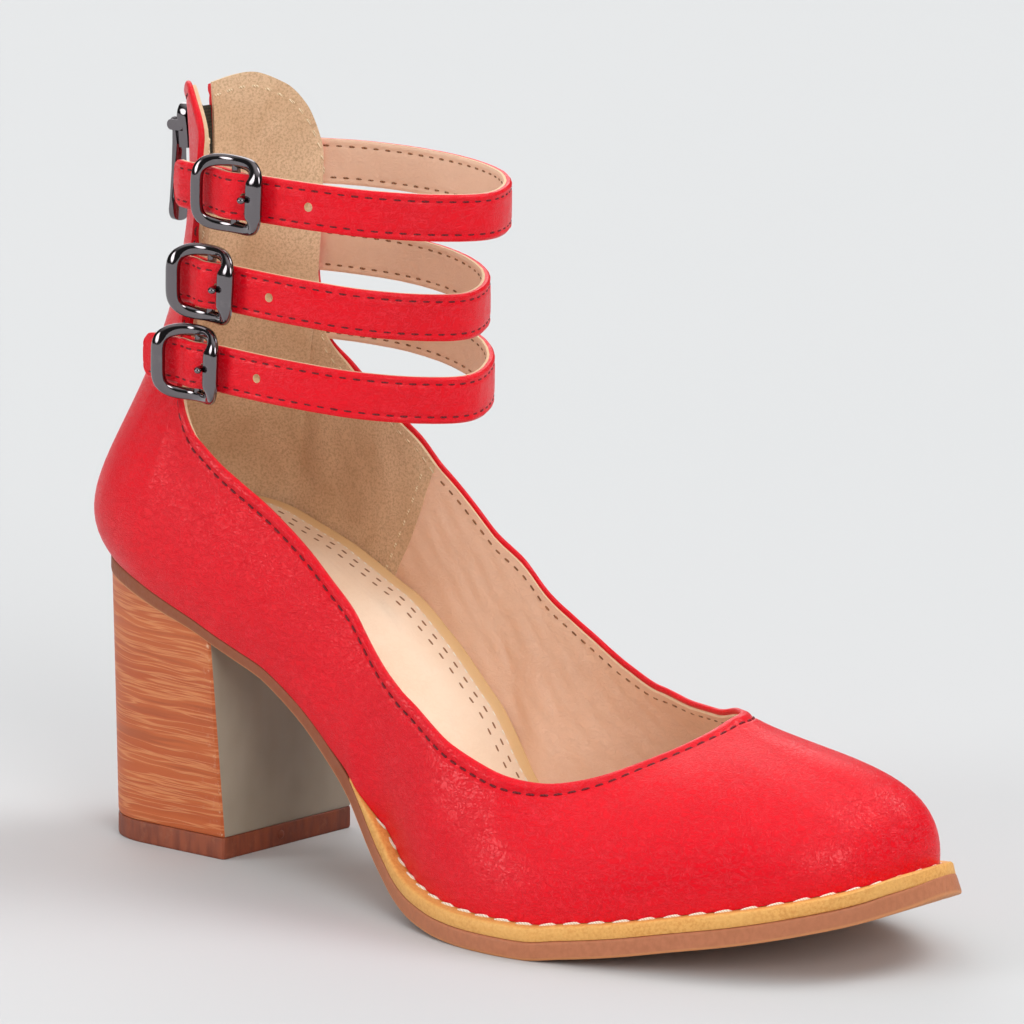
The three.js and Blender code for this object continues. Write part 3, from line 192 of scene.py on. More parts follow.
def make_piece(name, rings, materials, looped=False, parts=None, sharp=50, values=None, body="shoe"):
    """A closed piece from rings of corners (stations, around, 3), or from many equal ones (pieces,
    stations, around, 3). parts gives the material's number for each corner of a ring."""
    rings = np.asarray(rings, float)
    shapes = rings.reshape((-1,) + rings.shape[-3:])
    count, stations, around = shapes.shape[:3]
    one = ring_faces(stations, around, looped)
    faces = (one[None] + (np.arange(count) * stations * around)[:, None, None]).reshape(-1, 4)
    points = (shapes.reshape(-1, 3) + SHIFT) * 0.001
    first = points[faces[:len(one)]]
    middle = first.mean(axis=(0, 1))
    normals = np.cross(first[:, 2] - first[:, 0], first[:, 3] - first[:, 1])
    if np.sum(normals * (first.mean(axis=1) - middle)) < 0:
        faces = faces[:, ::-1]
    mesh = bpy.data.meshes.new(name)
    mesh.vertices.add(len(points))
    mesh.vertices.foreach_set("co", points.ravel())
    mesh.loops.add(faces.size)
    mesh.loops.foreach_set("vertex_index", faces.ravel().astype(np.int32))
    mesh.polygons.add(len(faces))
    mesh.polygons.foreach_set("loop_start", np.arange(0, faces.size, 4, dtype=np.int32))
    if parts is not None:
        parts = np.broadcast_to(parts, shapes.shape[:3]).reshape(-1)
        mesh.polygons.foreach_set("material_index", parts[faces].min(axis=1).astype(np.int32))
    mesh.polygons.foreach_set("use_smooth", np.ones(len(faces), bool))
    mesh.update(calc_edges=True)
    mesh.set_sharp_from_angle(angle=math.radians(sharp))
    for label, value in (values or {}).items():
        layer = mesh.attributes.new(label, "FLOAT", "POINT")
        layer.data.foreach_set("value", np.broadcast_to(value, shapes.shape[:3]).ravel().astype(np.float32))
    piece = bpy.data.objects.new(name, mesh)
    bpy.context.scene.collection.objects.link(piece)
    for material in materials:
        mesh.materials.append(material)
    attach(piece, body)
    return piece


def carried_round(outline, outward, middle, steps, low, high):
    """A slab from its outline: each step (scale towards the middle, inset, level, lift) gives one ring.
    The inset comes first, and the level runs from the low surface, 0, to the high one, 1."""
    rings = []
    for scale, inset, level, lift in steps:
        flat = middle + scale * (outline - inset * outward[..., :2] - middle)
        height = low(flat[..., 0]) * (1 - level) + high(flat[..., 0]) * level + lift
        rings.append(np.concatenate([flat, height[..., None]], axis=-1))
    return np.array(rings)


def rgb(red, green, blue):
    """A colour as it is seen, 0 to 255, turned into the renderer's linear numbers."""
    seen = np.array([red, green, blue]) / 255
    linear = np.where(seen <= 0.04045, seen / 12.92, ((seen + 0.055) / 1.055) ** 2.4)
    return (*linear, 1.0)


def add_node(tree, kind, inputs=None, **settings):
    """A shader node with its settings, each input set to a value or linked to another node's output."""
    made = tree.nodes.new(kind)
    for label, value in settings.items():
        setattr(made, label, value)
    for label, value in (inputs or {}).items():
        if isinstance(value, bpy.types.NodeSocket):
            tree.links.new(value, made.inputs[label])
        else:
            made.inputs[label].default_value = value
    return made


def make_group(name, inputs, outputs):
    """An empty node group with its named inputs and outputs."""
    tree = bpy.data.node_groups.new(name, "ShaderNodeTree")
    for label, kind, value in inputs:
        socket = tree.interface.new_socket(label, in_out="INPUT", socket_type=kind)
        if value is not None:
            socket.default_value = value
    for label in outputs:
        tree.interface.new_socket(label, in_out="OUTPUT", socket_type="NodeSocketFloat")
    return tree, tree.nodes.new("NodeGroupInput"), tree.nodes.new("NodeGroupOutput")


def shade(tree, low, high, value, start=0.0, finish=1.0):
    """A number between low and high as a value goes from start to finish."""
    inputs = {"Value": value, "From Min": start, "From Max": finish, "To Min": low, "To Max": high}
    return add_node(tree, "ShaderNodeMapRange", inputs).outputs["Result"]


def blend(tree, share, first, second):
    """A colour between two others."""
    made = add_node(tree, "ShaderNodeMix", data_type="RGBA")
    for index, value in ((0, share), (6, first), (7, second)):
        if isinstance(value, bpy.types.NodeSocket):
            tree.links.new(value, made.inputs[index])
        else:
            made.inputs[index].default_value = value
    return made.outputs[2]


def math_of(tree, operation, first, second=0.5):
    """One sum on numbers or on other nodes' outputs."""
    return add_node(tree, "ShaderNodeMath", {0: first, 1: second}, operation=operation).outputs[0]


def start_material(name):
    """A new material, with its node tree, its Principled shader and its Object coordinates."""
    material = bpy.data.materials.new(name)
    material.use_nodes = True
    tree = material.node_tree
    place = add_node(tree, "ShaderNodeTexCoord").outputs["Object"]
    return material, tree, tree.nodes["Principled BSDF"], place


def finish_surface(tree, shader, colour, roughness, height, depth):
    """Links colour, roughness and a bump of the given depth, in millimetres."""
    bump = add_node(tree, "ShaderNodeBump", {"Height": height, "Distance": depth * 0.001, "Strength": 1.0})
    tree.links.new(colour, shader.inputs["Base Color"])
    tree.links.new(roughness, shader.inputs["Roughness"])
    tree.links.new(bump.outputs["Normal"], shader.inputs["Normal"])


def stretched_noise(tree, place, scale, detail=3.0, roughness=0.55, distortion=0.0):
    """Noise whose grains are drawn out: its scale along x, y and z, per metre."""
    moved = add_node(tree, "ShaderNodeMapping", {"Vector": place, "Scale": scale}).outputs[0]
    inputs = {"Vector": moved, "Scale": 1.0, "Detail": detail, "Roughness": roughness,
              "Distortion": distortion}
    return add_node(tree, "ShaderNodeTexNoise", inputs).outputs["Fac"]


# The grain of dressed leather: fine creases that wander and cross, pebbles between them, slow clouds.
grain, taken, given = make_group("leather grain", [
    ("Position", "NodeSocketVector", None), ("Creases", "NodeSocketFloat", 300.0),
    ("Pebbles", "NodeSocketFloat", 900.0), ("Clouds", "NodeSocketFloat", 40.0),
], ["Cracks", "Height", "Cloud"])
cloud = add_node(grain, "ShaderNodeTexNoise", {
    "Vector": taken.outputs["Position"], "Scale": taken.outputs["Clouds"], "Detail": 4.0}).outputs["Fac"]
creases = None
for turned, drawn in (((0.3, 0.5, 0.9), (1.0, 0.45, 1.3)), ((1.1, -0.4, 0.2), (0.5, 1.2, 0.9))):
    moved = add_node(grain, "ShaderNodeMapping", {
        "Vector": taken.outputs["Position"], "Rotation": turned, "Scale": drawn}).outputs[0]
    wander = add_node(grain, "ShaderNodeTexNoise", {
        "Vector": moved, "Scale": taken.outputs["Creases"], "Detail": 3.0, "Roughness": 0.6,
        "Distortion": 0.7}).outputs["Fac"]
    away = math_of(grain, "ABSOLUTE", math_of(grain, "SUBTRACT", wander, 0.5))
    line = shade(grain, 1.0, 0.0, away, 0.0, 0.035)
    creases = line if creases is None else math_of(grain, "MAXIMUM", creases, line)
pebbles = add_node(grain, "ShaderNodeTexVoronoi", {
    "Vector": taken.outputs["Position"], "Scale": taken.outputs["Pebbles"]},
    feature="SMOOTH_F1").outputs["Distance"]
patchy = shade(grain, 0.25, 1.0, cloud, 0.40, 0.62)
grain.links.new(math_of(grain, "MULTIPLY", creases, patchy), given.inputs["Cracks"])
sunk = math_of(grain, "MULTIPLY", creases, 0.7)
domed = shade(grain, 0.7, 0.2, pebbles, 0.0, 0.8)
grain.links.new(math_of(grain, "SUBTRACT", domed, sunk), given.inputs["Height"])
grain.links.new(cloud, given.inputs["Cloud"])

# Scratches and scuffs that use leaves: fine drawn-out marks and worn spots.
scuffing, taken, given = make_group("scuffs", [
    ("Position", "NodeSocketVector", None), ("Along", "NodeSocketVector", (40.0, 40.0, 900.0)),
    ("Spots", "NodeSocketFloat", 90.0),
], ["Scratches", "Spots"])
drawn = add_node(scuffing, "ShaderNodeVectorMath", {
    0: taken.outputs["Position"], 1: taken.outputs["Along"]}, operation="MULTIPLY").outputs[0]
lines = add_node(scuffing, "ShaderNodeTexNoise", {
    "Vector": drawn, "Scale": 1.0, "Detail": 4.0}).outputs["Fac"]
spots = add_node(scuffing, "ShaderNodeTexNoise", {
    "Vector": taken.outputs["Position"], "Scale": taken.outputs["Spots"], "Detail": 6.0,
    "Roughness": 0.7}).outputs["Fac"]
scuffing.links.new(shade(scuffing, 0.0, 1.0, lines, 0.35, 0.65), given.inputs["Scratches"])
scuffing.links.new(shade(scuffing, 0.0, 1.0, spots, 0.56, 0.70), given.inputs["Spots"])


def use_group(tree, group, inputs):
    """A node group placed in a material with its own values."""
    return add_node(tree, "ShaderNodeGroup", inputs, node_tree=group).outputs


sole_leather, tree, shader, place = start_material("outsole leather")
marks = use_group(tree, scuffing, {"Position": place, "Along": (900.0, 900.0, 700.0), "Spots": 160.0})
clouded = stretched_noise(tree, place, (30, 30, 30))
rim = add_node(tree, "ShaderNodeAttribute", attribute_name="rim").outputs["Fac"]
body_colour = blend(tree, marks["Scratches"], rgb(172, 104, 70), rgb(188, 118, 84))
body_colour = blend(tree, shade(tree, 0.0, 0.5, clouded, 0.35, 0.7), body_colour, rgb(178, 108, 70))
waist = add_node(tree, "ShaderNodeSeparateXYZ", {"Vector": place}).outputs["X"]
body_colour = blend(tree, shade(tree, 1.0, 0.0, waist, -0.02, 0.0), body_colour, rgb(140, 74, 42))
body_colour = blend(tree, rim, body_colour, rgb(212, 142, 90))
finish_surface(tree, shader, body_colour, shade(tree, 0.55, 0.72, marks["Scratches"]),
               marks["Scratches"], 0.05)

LOOP_STEPS = 560
turns = np.arange(LOOP_STEPS) / LOOP_STEPS
sole_outline = sole_edge(turns)
sole_outward = outward_at(turns)
sole_middle = np.array([SOLE_LENGTH / 2, 0.0])
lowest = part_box("outsole")[0]
SHIFT = np.array([lowest.x * 1000 - sole_loop[:, 0].min(), lowest.y * 1000 - sole_loop[:, 1].min(), 0.0])
inward = np.linspace(0.02, 0.97, 26)
outsole_steps = [(share, 1.6, 1.0, 0.25) for share in inward]
outsole_steps += [(1.0, 1.6, 1.0, 0.25), (1.0, 0.7, 1.0, 0.25), (1.0, 0.25, 1.0, 0.1)]
outsole_steps += [(1.0, 0.04, 0.96, 0.0)]
outsole_steps += [(1.0, 0.0, level, 0.0) for level in (0.85, 0.6, 0.4, 0.2)]
outsole_steps += [(1.0, 0.08, 0.08, 0.0), (1.0, 0.3, 0.02, 0.0), (1.0, 0.8, 0.0, 0.0), (1.0, 2.8, 0.0, 0.0)]
outsole_steps += [(1.0, 3.2, 0.0, 0.35), (1.0, 3.8, 0.0, 0.35), (1.0, 4.2, 0.0, 0.0)]
outsole_steps += [(share, 4.2, 0.0, 0.0) for share in inward[::-1]]
outsole_rings = carried_round(sole_outline, sole_outward, sole_middle, outsole_steps, outsole_underside,
                              outsole_top)
outsole_levels = np.array([step[2] for step in outsole_steps])
outsole_rings[..., :2] -= (outsole_levels[:, None] * tip_draw(turns))[..., None] * sole_outward[:, :2]
below_top_face = np.arange(len(outsole_levels)) > len(inward) + 4
outsole_rim = np.exp(-((outsole_levels - 0.05) / 0.09) ** 2) * below_top_face
outsole = make_piece("outsole_leather", outsole_rings, [sole_leather],
                     values={"rim": outsole_rim[None, :, None]})
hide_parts("outsole")

# Welt: a tan leather strip round the forefoot between outsole and upper. It tapers away at the waist,
# and a white thread in its crease catches the upper with long slanting stitches.
WELT_THICKNESS = 2.6
WELT_OVERHANG = 3.2
TOE_OVERHANG = 1.8
WELT_START, WELT_FULL, WELT_FULL_END, WELT_END = 0.203, 0.226, 0.774, 0.797
WELT_STEP = 0.015
WELT_THINNEST = 0.25
UPPER_WALL = 1.8
WELT_STITCH_PITCH = 5.6


def smoothstep(low, high, value):
    """A soft step from 0 to 1: three times the share's square less twice its cube."""
    share = np.clip((np.asarray(value) - low) / (high - low), 0, 1)
    return share * share * (3 - 2 * share)


def welt_share(turn):
    """The welt's share of its full size: 1 round the forefoot, 0 from the waist back."""
    return np.minimum(smoothstep(WELT_START, WELT_FULL, turn),
                      1 - smoothstep(WELT_FULL_END, WELT_END, turn))


def welt_overhang(turn):
    """How far the welt stands out beyond the upper: a little more round the toe."""
    toe = smoothstep(0.36, 0.48, turn) * (1 - smoothstep(0.6, 0.72, turn))
    return (WELT_OVERHANG + TOE_OVERHANG * toe) * welt_share(turn)


def foot_line(turn):
    """Where the upper stands on the sole: inside the welt's edge in front, flush with it behind."""
    turn = np.asarray(turn, float)
    flat = sole_edge(turn) - outward_at(turn)[..., :2] * welt_overhang(turn)[..., None]
    step = np.minimum(smoothstep(WELT_START - WELT_STEP, WELT_START, turn),
                      1 - smoothstep(WELT_END, WELT_END + WELT_STEP, turn))
    over_welt = step * (WELT_THINNEST + SEAM) + welt_share(turn) * WELT_THICKNESS
    height = outsole_top(flat[..., 0]) + SEAM + over_welt * steepness(flat[..., 0])
    return np.concatenate([flat, height[..., None]], axis=-1)


def many_copies(middles, axes, offsets):
    """A small shape set at many places: its three offsets laid along each place's three axes."""
    return middles[:, None, None] + sum(
        axis[:, None, None] * offset[None, :, :, None] for axis, offset in zip(axes, offsets))


def stitch_row(name, line, outward, pitch, length, width, thread, slant=0.0, sink=0.12,
               height=0.8):
    """Stitches along a line: each is a rounded bar whose middle stands proud and whose ends dip into
    the leather, by the fourth power of the way from its middle."""
    spans = lengths_along(line)
    centres = np.arange(pitch / 2, spans[-1] - pitch / 3, pitch)
    middle = read_along(line, spans, centres)
    along = unit(read_along(line, spans, centres + 0.4) - read_along(line, spans, centres - 0.4))
    out = read_along(outward, spans, centres)
    out = unit(out - along * np.sum(out * along, axis=1, keepdims=True))
    across = np.cross(out, along)
    turned = along * math.cos(slant) + across * math.sin(slant)
    beside = across * math.cos(slant) - along * math.sin(slant)
    a = np.linspace(-1, 1, 7)[:, None]
    angle = (np.arange(6) / 6 * 2 * np.pi)[None, :]
    size = width / 2 * np.sqrt(np.clip(1 - 0.92 * a**4, 0, 1))
    dip = (sink + width * height * 0.6) * a**4
    offsets = (a * length / 2 + 0 * angle, size * np.cos(angle), size * height * np.sin(angle) - dip)
    return make_piece(name, many_copies(middle, (turned, beside, out), offsets), [thread])


welt_leather, tree, shader, place = start_material("welt leather")
grained = use_group(tree, grain, {"Position": place, "Creases": 500.0, "Pebbles": 1800.0, "Clouds": 55.0})
speckle = stretched_noise(tree, place, (1500, 1500, 1500), detail=3.0)
welt_colour = blend(tree, shade(tree, 0.0, 1.0, speckle, 0.40, 0.66), rgb(232, 172, 92), rgb(216, 148, 70))
welt_colour = blend(tree, shade(tree, 0.0, 0.6, grained["Cloud"], 0.4, 0.7), welt_colour, rgb(232, 178, 100))
finish_surface(tree, shader, welt_colour, shade(tree, 0.5, 0.66, speckle), grained["Height"], 0.05)


def thread_material(name, light, dark):
    """Twisted thread: its plies show as slanting bands of light and shade."""
    material, tree, shader, place = start_material(name)
    plies = add_node(tree, "ShaderNodeTexWave", {
        "Vector": place, "Scale": 700.0, "Distortion": 1.5}, bands_direction="DIAGONAL").outputs["Fac"]
    finish_surface(tree, shader, blend(tree, plies, dark, light), shade(tree, 0.55, 0.7, plies), plies, 0.06)
    return material


white_thread = thread_material("white thread", rgb(248, 240, 226), rgb(224, 208, 184))
WELT_STATIONS = 420
around_welt = np.linspace(WELT_START, WELT_END, WELT_STATIONS)
welt_edge = sole_edge(around_welt)
welt_outward = outward_at(around_welt)
welt_width = welt_overhang(around_welt) + UPPER_WALL
welt_thick = np.maximum(WELT_THINNEST, WELT_THICKNESS * welt_share(around_welt)) + 1.5 * SEAM
WELT_SECTION = [(0.04, 0.0), (0.0, 0.12), (0.0, 0.5), (0.0, 0.82), (0.06, 0.95), (0.16, 1.0),
                (0.5, 1.0), (1.0, 1.0), (1.0, 0.7), (1.0, 0.3), (1.0, 0.0), (0.5, 0.0)]
welt_rings = []
for inset, lift in WELT_SECTION:
    drawn_in = inset * welt_width + (1 - inset) * (1 + 0.5 * lift) * tip_draw(around_welt)
    flat = welt_edge - welt_outward[:, :2] * drawn_in[:, None]
    height = outsole_top(flat[:, 0]) + 0.9 * SEAM + lift * welt_thick * steepness(flat[:, 0])
    welt_rings.append(np.concatenate([flat, height[:, None]], axis=-1))
welt = make_piece("welt_strip", np.stack(welt_rings, axis=1), [welt_leather])
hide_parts("welt")
stitch_turns = np.linspace(WELT_FULL - 0.01, WELT_FULL_END + 0.01, 1500)
crease = foot_line(stitch_turns) + outward_at(stitch_turns) * 0.45 + [0, 0, 0.05]
crease_out = outward_at(stitch_turns) * 0.6 + [0, 0, 0.8]
welt_stitches = stitch_row("welt_stitches", crease, crease_out, WELT_STITCH_PITCH, 4.4, 0.66, white_thread,
                           slant=0.14, sink=0.25)

# Upper: one red leather shell, shaped over the last, cemented to the welt and lasted under at the heel.
# Its topline is folded over into a rolled edge and sewn down with red thread; the two back tabs rise
# beside the zip and carry the straps.
INSTEP_RISE = 45.0
SHAFT_RISE = 71.0
LEATHER = 1.15
TOPLINE = np.array([
    [0.003, 0.081, -0.026, 1.000, 0.872], [0.012, 0.088, -0.072, 1.000, 0.925],
    [0.022, 0.104, -0.127, 1.000, 0.976], [0.034, 0.126, -0.179, 1.000, 1.015],
    [0.045, 0.149, -0.221, 1.000, 0.989], [0.054, 0.166, -0.245, 1.000, 0.903],
    [0.063, 0.165, -0.256, 1.000, 0.697], [0.072, 0.156, -0.265, 1.000, 0.424],
    [0.083, 0.149, -0.275, 1.000, 0.184], [0.095, 0.156, -0.289, 1.000, 0.066],
    [0.112, 0.186, -0.311, 0.980, 0], [0.132, 0.233, -0.323, 0.931, 0],
    [0.155, 0.291, -0.326, 0.896, 0], [0.182, 0.365, -0.326, 0.907, 0],
    [0.207, 0.419, -0.341, 0.957, 0], [0.232, 0.480, -0.370, 0.963, 0],
    [0.262, 0.548, -0.398, 0.872, 0], [0.292, 0.608, -0.400, 0.802, 0],
    [0.325, 0.653, -0.352, 0.771, 0], [0.358, 0.692, -0.263, 0.808, 0],
    [0.395, 0.722, -0.167, 0.861, 0], [0.440, 0.741, -0.078, 0.912, 0],
    [0.475, 0.752, 0.000, 0.960, 0], [0.509, 0.754, 0.072, 0.995, 0],
    [0.540, 0.747, 0.125, 1.000, 0], [0.575, 0.725, 0.177, 1.000, 0],
    [0.610, 0.690, 0.225, 0.980, 0], [0.645, 0.643, 0.269, 0.972, 0],
    [0.680, 0.592, 0.301, 0.998, 0], [0.712, 0.544, 0.323, 1.000, 0.026],
    [0.742, 0.477, 0.335, 1.000, 0.071], [0.772, 0.420, 0.335, 1.000, 0.037],
    [0.798, 0.361, 0.329, 0.957, 0], [0.826, 0.303, 0.323, 0.982, 0],
    [0.850, 0.266, 0.317, 1.000, 0.036], [0.873, 0.214, 0.311, 1.000, 0.094],
    [0.893, 0.182, 0.307, 1.000, 0.138], [0.908, 0.153, 0.299, 1.000, 0.187],
    [0.921, 0.143, 0.281, 1.000, 0.435], [0.931, 0.149, 0.266, 1.000, 0.689],
    [0.942, 0.154, 0.253, 1.000, 0.815], [0.953, 0.146, 0.227, 1.000, 0.917],
    [0.965, 0.129, 0.185, 1.000, 0.977], [0.977, 0.109, 0.137, 1.000, 0.990],
    [0.988, 0.090, 0.084, 1.000, 0.964], [0.997, 0.081, 0.026, 1.000, 0.938],
])
WALL_SECTIONS = np.array([
    [0.000, 48, 0.24, -6, 0.60], [0.035, 42, 0.23, -8, 0.62], [0.060, 33, 0.20, -4, 0.60],
    [0.095, 18, 0.34, 3, 0.33], [0.180, 14, 0.33, 8, 0.33], [0.262, 8, 0.35, 14, 0.33],
    [0.325, 3, 0.40, 40, 0.35], [0.395, 3, 0.38, 68, 0.38], [0.475, 3, 0.35, 77, 0.41],
    [0.509, 8, 0.41, 72, 0.38], [0.575, 0, 0.31, 50, 0.38], [0.645, 5, 0.34, 46, 0.34],
    [0.712, 5, 0.35, 14, 0.33], [0.760, 12, 0.33, -2, 0.33], [0.798, 16, 0.33, -4, 0.33],
    [0.873, 13, 0.30, -4, 0.33], [0.908, 12, 0.30, -2, 0.40], [0.940, 33, 0.20, -4, 0.60],
    [0.965, 42, 0.23, -8, 0.62], [1.000, 48, 0.24, -6, 0.60],
])
ZIP_EDGE = TOPLINE[0, 0]
FOOT_WEIGHT = 0.4


def topline_point(turn):
    """A point of the topline: the table's shares of length, width, instep rise and shaft rise."""
    along, across, instep, shaft = table_at(TOPLINE, turn)
    x = along * SOLE_LENGTH
    height = sole_line(x) + instep * INSTEP_RISE + shaft * SHAFT_RISE
    return np.stack([x, across * BALL_WIDTH, height], axis=-1)


def wall(turn, rise):
    """The upper's outside: over each place on the foot line one cubic bend up to the topline, with the
    table's leans and pulls as its handles. rise goes from 0 at the foot to 1 at the topline."""
    turn, rise = np.broadcast_arrays(np.asarray(turn, float), np.asarray(rise, float))
    foot_lean, foot_pull, top_lean, top_pull = table_at(WALL_SECTIONS, turn)
    foot, top = foot_line(turn), topline_point(turn)
    chord = np.linalg.norm(top - foot, axis=-1)
    outward = outward_at(turn)

    def lean(degrees, up):
        """A direction leant outwards from straight up (1) or straight down (-1)."""
        upright = np.stack([0 * degrees, 0 * degrees, up * np.cos(np.radians(degrees))], axis=-1)
        return outward * np.sin(np.radians(degrees))[..., None] + upright

    low = foot + lean(foot_lean, 1) * (foot_pull * chord)[..., None]
    high = top + lean(top_lean, -1) * (top_pull * chord)[..., None]
    t = rise[..., None]
    return (1 - t) ** 3 * foot + 3 * (1 - t) ** 2 * t * low + 3 * (1 - t) * t * t * high + t**3 * top


def wall_frame(turn, rise):
    """A place on the wall with its outward and its upward direction, from small steps both ways."""
    turn, rise = np.broadcast_arrays(np.asarray(turn, float), np.asarray(rise, float))
    before, after = np.maximum(turn - 0.0015, ZIP_EDGE), np.minimum(turn + 0.0015, 1 - ZIP_EDGE)
    along = unit(wall(after, rise) - wall(before, rise))
    foot_along = unit(foot_line(after) - foot_line(before))
    up = unit(wall(turn, np.minimum(rise + 0.01, 1)) - wall(turn, np.maximum(rise - 0.01, 0)))
    out = unit(np.cross(along, up) + FOOT_WEIGHT * unit(np.cross(foot_along, up)))
    out[..., 2] *= smoothstep(0.0, 0.08, rise)
    return wall(turn, rise), unit(out), up


def rise_below(turn, distance):
    """The rise of a place that lies a distance in millimetres below the topline."""
    pull = table_at(WALL_SECTIONS, turn)[3]
    chord = np.linalg.norm(topline_point(turn) - foot_line(turn), axis=-1)
    return 1 - distance / (3 * pull * chord)


def leather_material(name, ground, light, deep, creases, pebbles, gloss, crack_share, depth, mirror):
    """Dressed leather: a ground colour with paler cracks between the cells and darker clouds. mirror
    is the strength of its reflection."""
    material, tree, shader, place = start_material(name)
    grained = use_group(tree, grain, {
        "Position": place, "Creases": creases, "Pebbles": pebbles, "Clouds": 45.0})
    colour = blend(tree, shade(tree, 0.0, 0.55, grained["Cloud"], 0.35, 0.7), ground, deep)
    colour = blend(tree, shade(tree, 0.0, crack_share, grained["Cracks"]), colour, light)
    rough = shade(tree, gloss, gloss + 0.14, grained["Cracks"])
    finish_surface(tree, shader, colour, rough, grained["Height"], depth)
    shader.inputs["Specular IOR Level"].default_value = mirror
    return material


red_leather = leather_material(
    "red leather", rgb(232, 2, 28), rgb(250, 44, 66), rgb(212, 1, 20), 620.0, 1900.0, 0.33, 0.34, 0.10, 0.28)
strap_leather = leather_material(
    "strap leather", rgb(234, 2, 28), rgb(252, 52, 70), rgb(214, 1, 20), 480.0, 1900.0, 0.36, 0.42,
    0.09, 0.26)
# The red thread is a dark maroon, and its two colours are darker still: painted shade of the stitches sunk
# in their grooves.
red_thread = thread_material("red thread", rgb(132, 2, 16), rgb(70, 1, 8))


def crowded(columns):
    """Places round the shoe from zip edge to zip edge, closer together towards the back."""
    side = np.linspace(-1, 1, columns)
    share = 0.5 + 0.5 * np.sign(side) * (1 - (1 - np.abs(side)) ** 1.5)
    return ZIP_EDGE + share * (1 - 2 * ZIP_EDGE)


UPPER_COLUMNS = 430
EDGE_BAND = 6.0
FOLD_PUFF, FOLD_PUFF_AT, FOLD_PUFF_SPREAD = 0.28, 1.1, 0.8
SEAM_DIP, SEAM_DIP_AT, SEAM_DIP_SPREAD = 0.30, 2.6, 0.45
upper_turns = crowded(UPPER_COLUMNS)[:, None]
below_top = np.concatenate([np.linspace(EDGE_BAND, 0.35, 20), [0.1]])[None, :]
band = rise_below(upper_turns, below_top)
lower = np.linspace(0, 1, 34)[None, :-1] * band[:, :1]
upper_rise = np.concatenate([lower, band], axis=1)
shell, shell_out, shell_up = wall_frame(np.broadcast_to(upper_turns, upper_rise.shape), upper_rise)
distance = (1 - upper_rise) * (EDGE_BAND / (1 - band[:, :1]))
puff = FOLD_PUFF * np.exp(-((distance - FOLD_PUFF_AT) / FOLD_PUFF_SPREAD) ** 2)
puff -= SEAM_DIP * np.exp(-((distance - SEAM_DIP_AT) / SEAM_DIP_SPREAD) ** 2)
outer_side = shell + shell_out * puff[..., None]
inner_side = shell - shell_out * LEATHER
half_round = np.radians([25, 60, 90, 120, 155])
top, top_out, top_up = shell[:, -1:], shell_out[:, -1:], shell_up[:, -1:]
roll_height = LEATHER / 2 * (1 - 0.7 * smoothstep(0.90, 0.93, upper_turns))
roll = top - top_out * (LEATHER / 2 * (1 - np.cos(half_round)))[None, :, None] + top_up * (
    roll_height * np.sin(half_round))[..., None]
roll_out, roll_in = roll[:, :3], roll[:, 3:]
foot_corner = inner_side[:, :1]
upper_rings = np.concatenate([outer_side, roll_out, roll_in, inner_side[:, ::-1], foot_corner], axis=1)
upper = make_piece("upper_leather", upper_rings, [red_leather], sharp=60)
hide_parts("upper")

# The back seam under the zip joins the two sides edge to edge.
seam_rise = np.linspace(0.0, 0.172, 12)[None, :]
left, left_out, _ = wall_frame(np.full((1, 1), ZIP_EDGE), seam_rise)
right, right_out, _ = wall_frame(np.full((1, 1), 1 - ZIP_EDGE), seam_rise)
share = np.linspace(-0.12, 1.12, 9)[:, None, None]
bridge = left * (1 - share) + right * share
sag = (0.25 - 0.35 * np.exp(-((share - 0.5) / 0.08) ** 2)) * np.array([-1.0, 0, 0])
seam_rings = np.concatenate([bridge + sag, (bridge + [LEATHER, 0, 0])[:, ::-1]], axis=1)
back_seam = make_piece("back_seam", seam_rings, [red_leather])

topline_turns = np.linspace(ZIP_EDGE, 1 - ZIP_EDGE, 4200)
seam_line, seam_out, _ = wall_frame(topline_turns, rise_below(topline_turns, SEAM_DIP_AT))
topline_stitches = stitch_row("topline_stitches", seam_line - 0.12 * seam_out, seam_out, 3.0, 2.2, 0.52,
                              red_thread)

# Lining: thin peach leather, cemented inside the upper and sewn just under the topline, with a row of
# cream thread. Its cut edge shows as a pale line beside the rolled red edge.
LINING = 0.62
GLUE_LINE = 0.03
INNER_SEAM_AT = 2.8
LINING_DROP = 0.7
GRIP_EDGE_OUTER = (0.128, 0.168)
GRIP_EDGE_INNER = (0.872, 0.831)

peach_lining = leather_material(
    "peach lining", rgb(242, 202, 174), rgb(250, 216, 194), rgb(234, 188, 158), 520.0, 1900.0, 0.5, 0.3,
    0.07, 0.5)
cream_thread = thread_material("cream thread", rgb(244, 226, 194), rgb(198, 164, 122))
brown_thread = thread_material("brown thread", rgb(168, 116, 78), rgb(104, 64, 38))
cream_edge, tree, shader, place = start_material("cream cut edge")
fibres = stretched_noise(tree, place, (500, 500, 2400))
finish_surface(tree, shader, blend(tree, fibres, rgb(232, 206, 170), rgb(214, 180, 138)),
               shade(tree, 0.7, 0.85, fibres), fibres, 0.06)


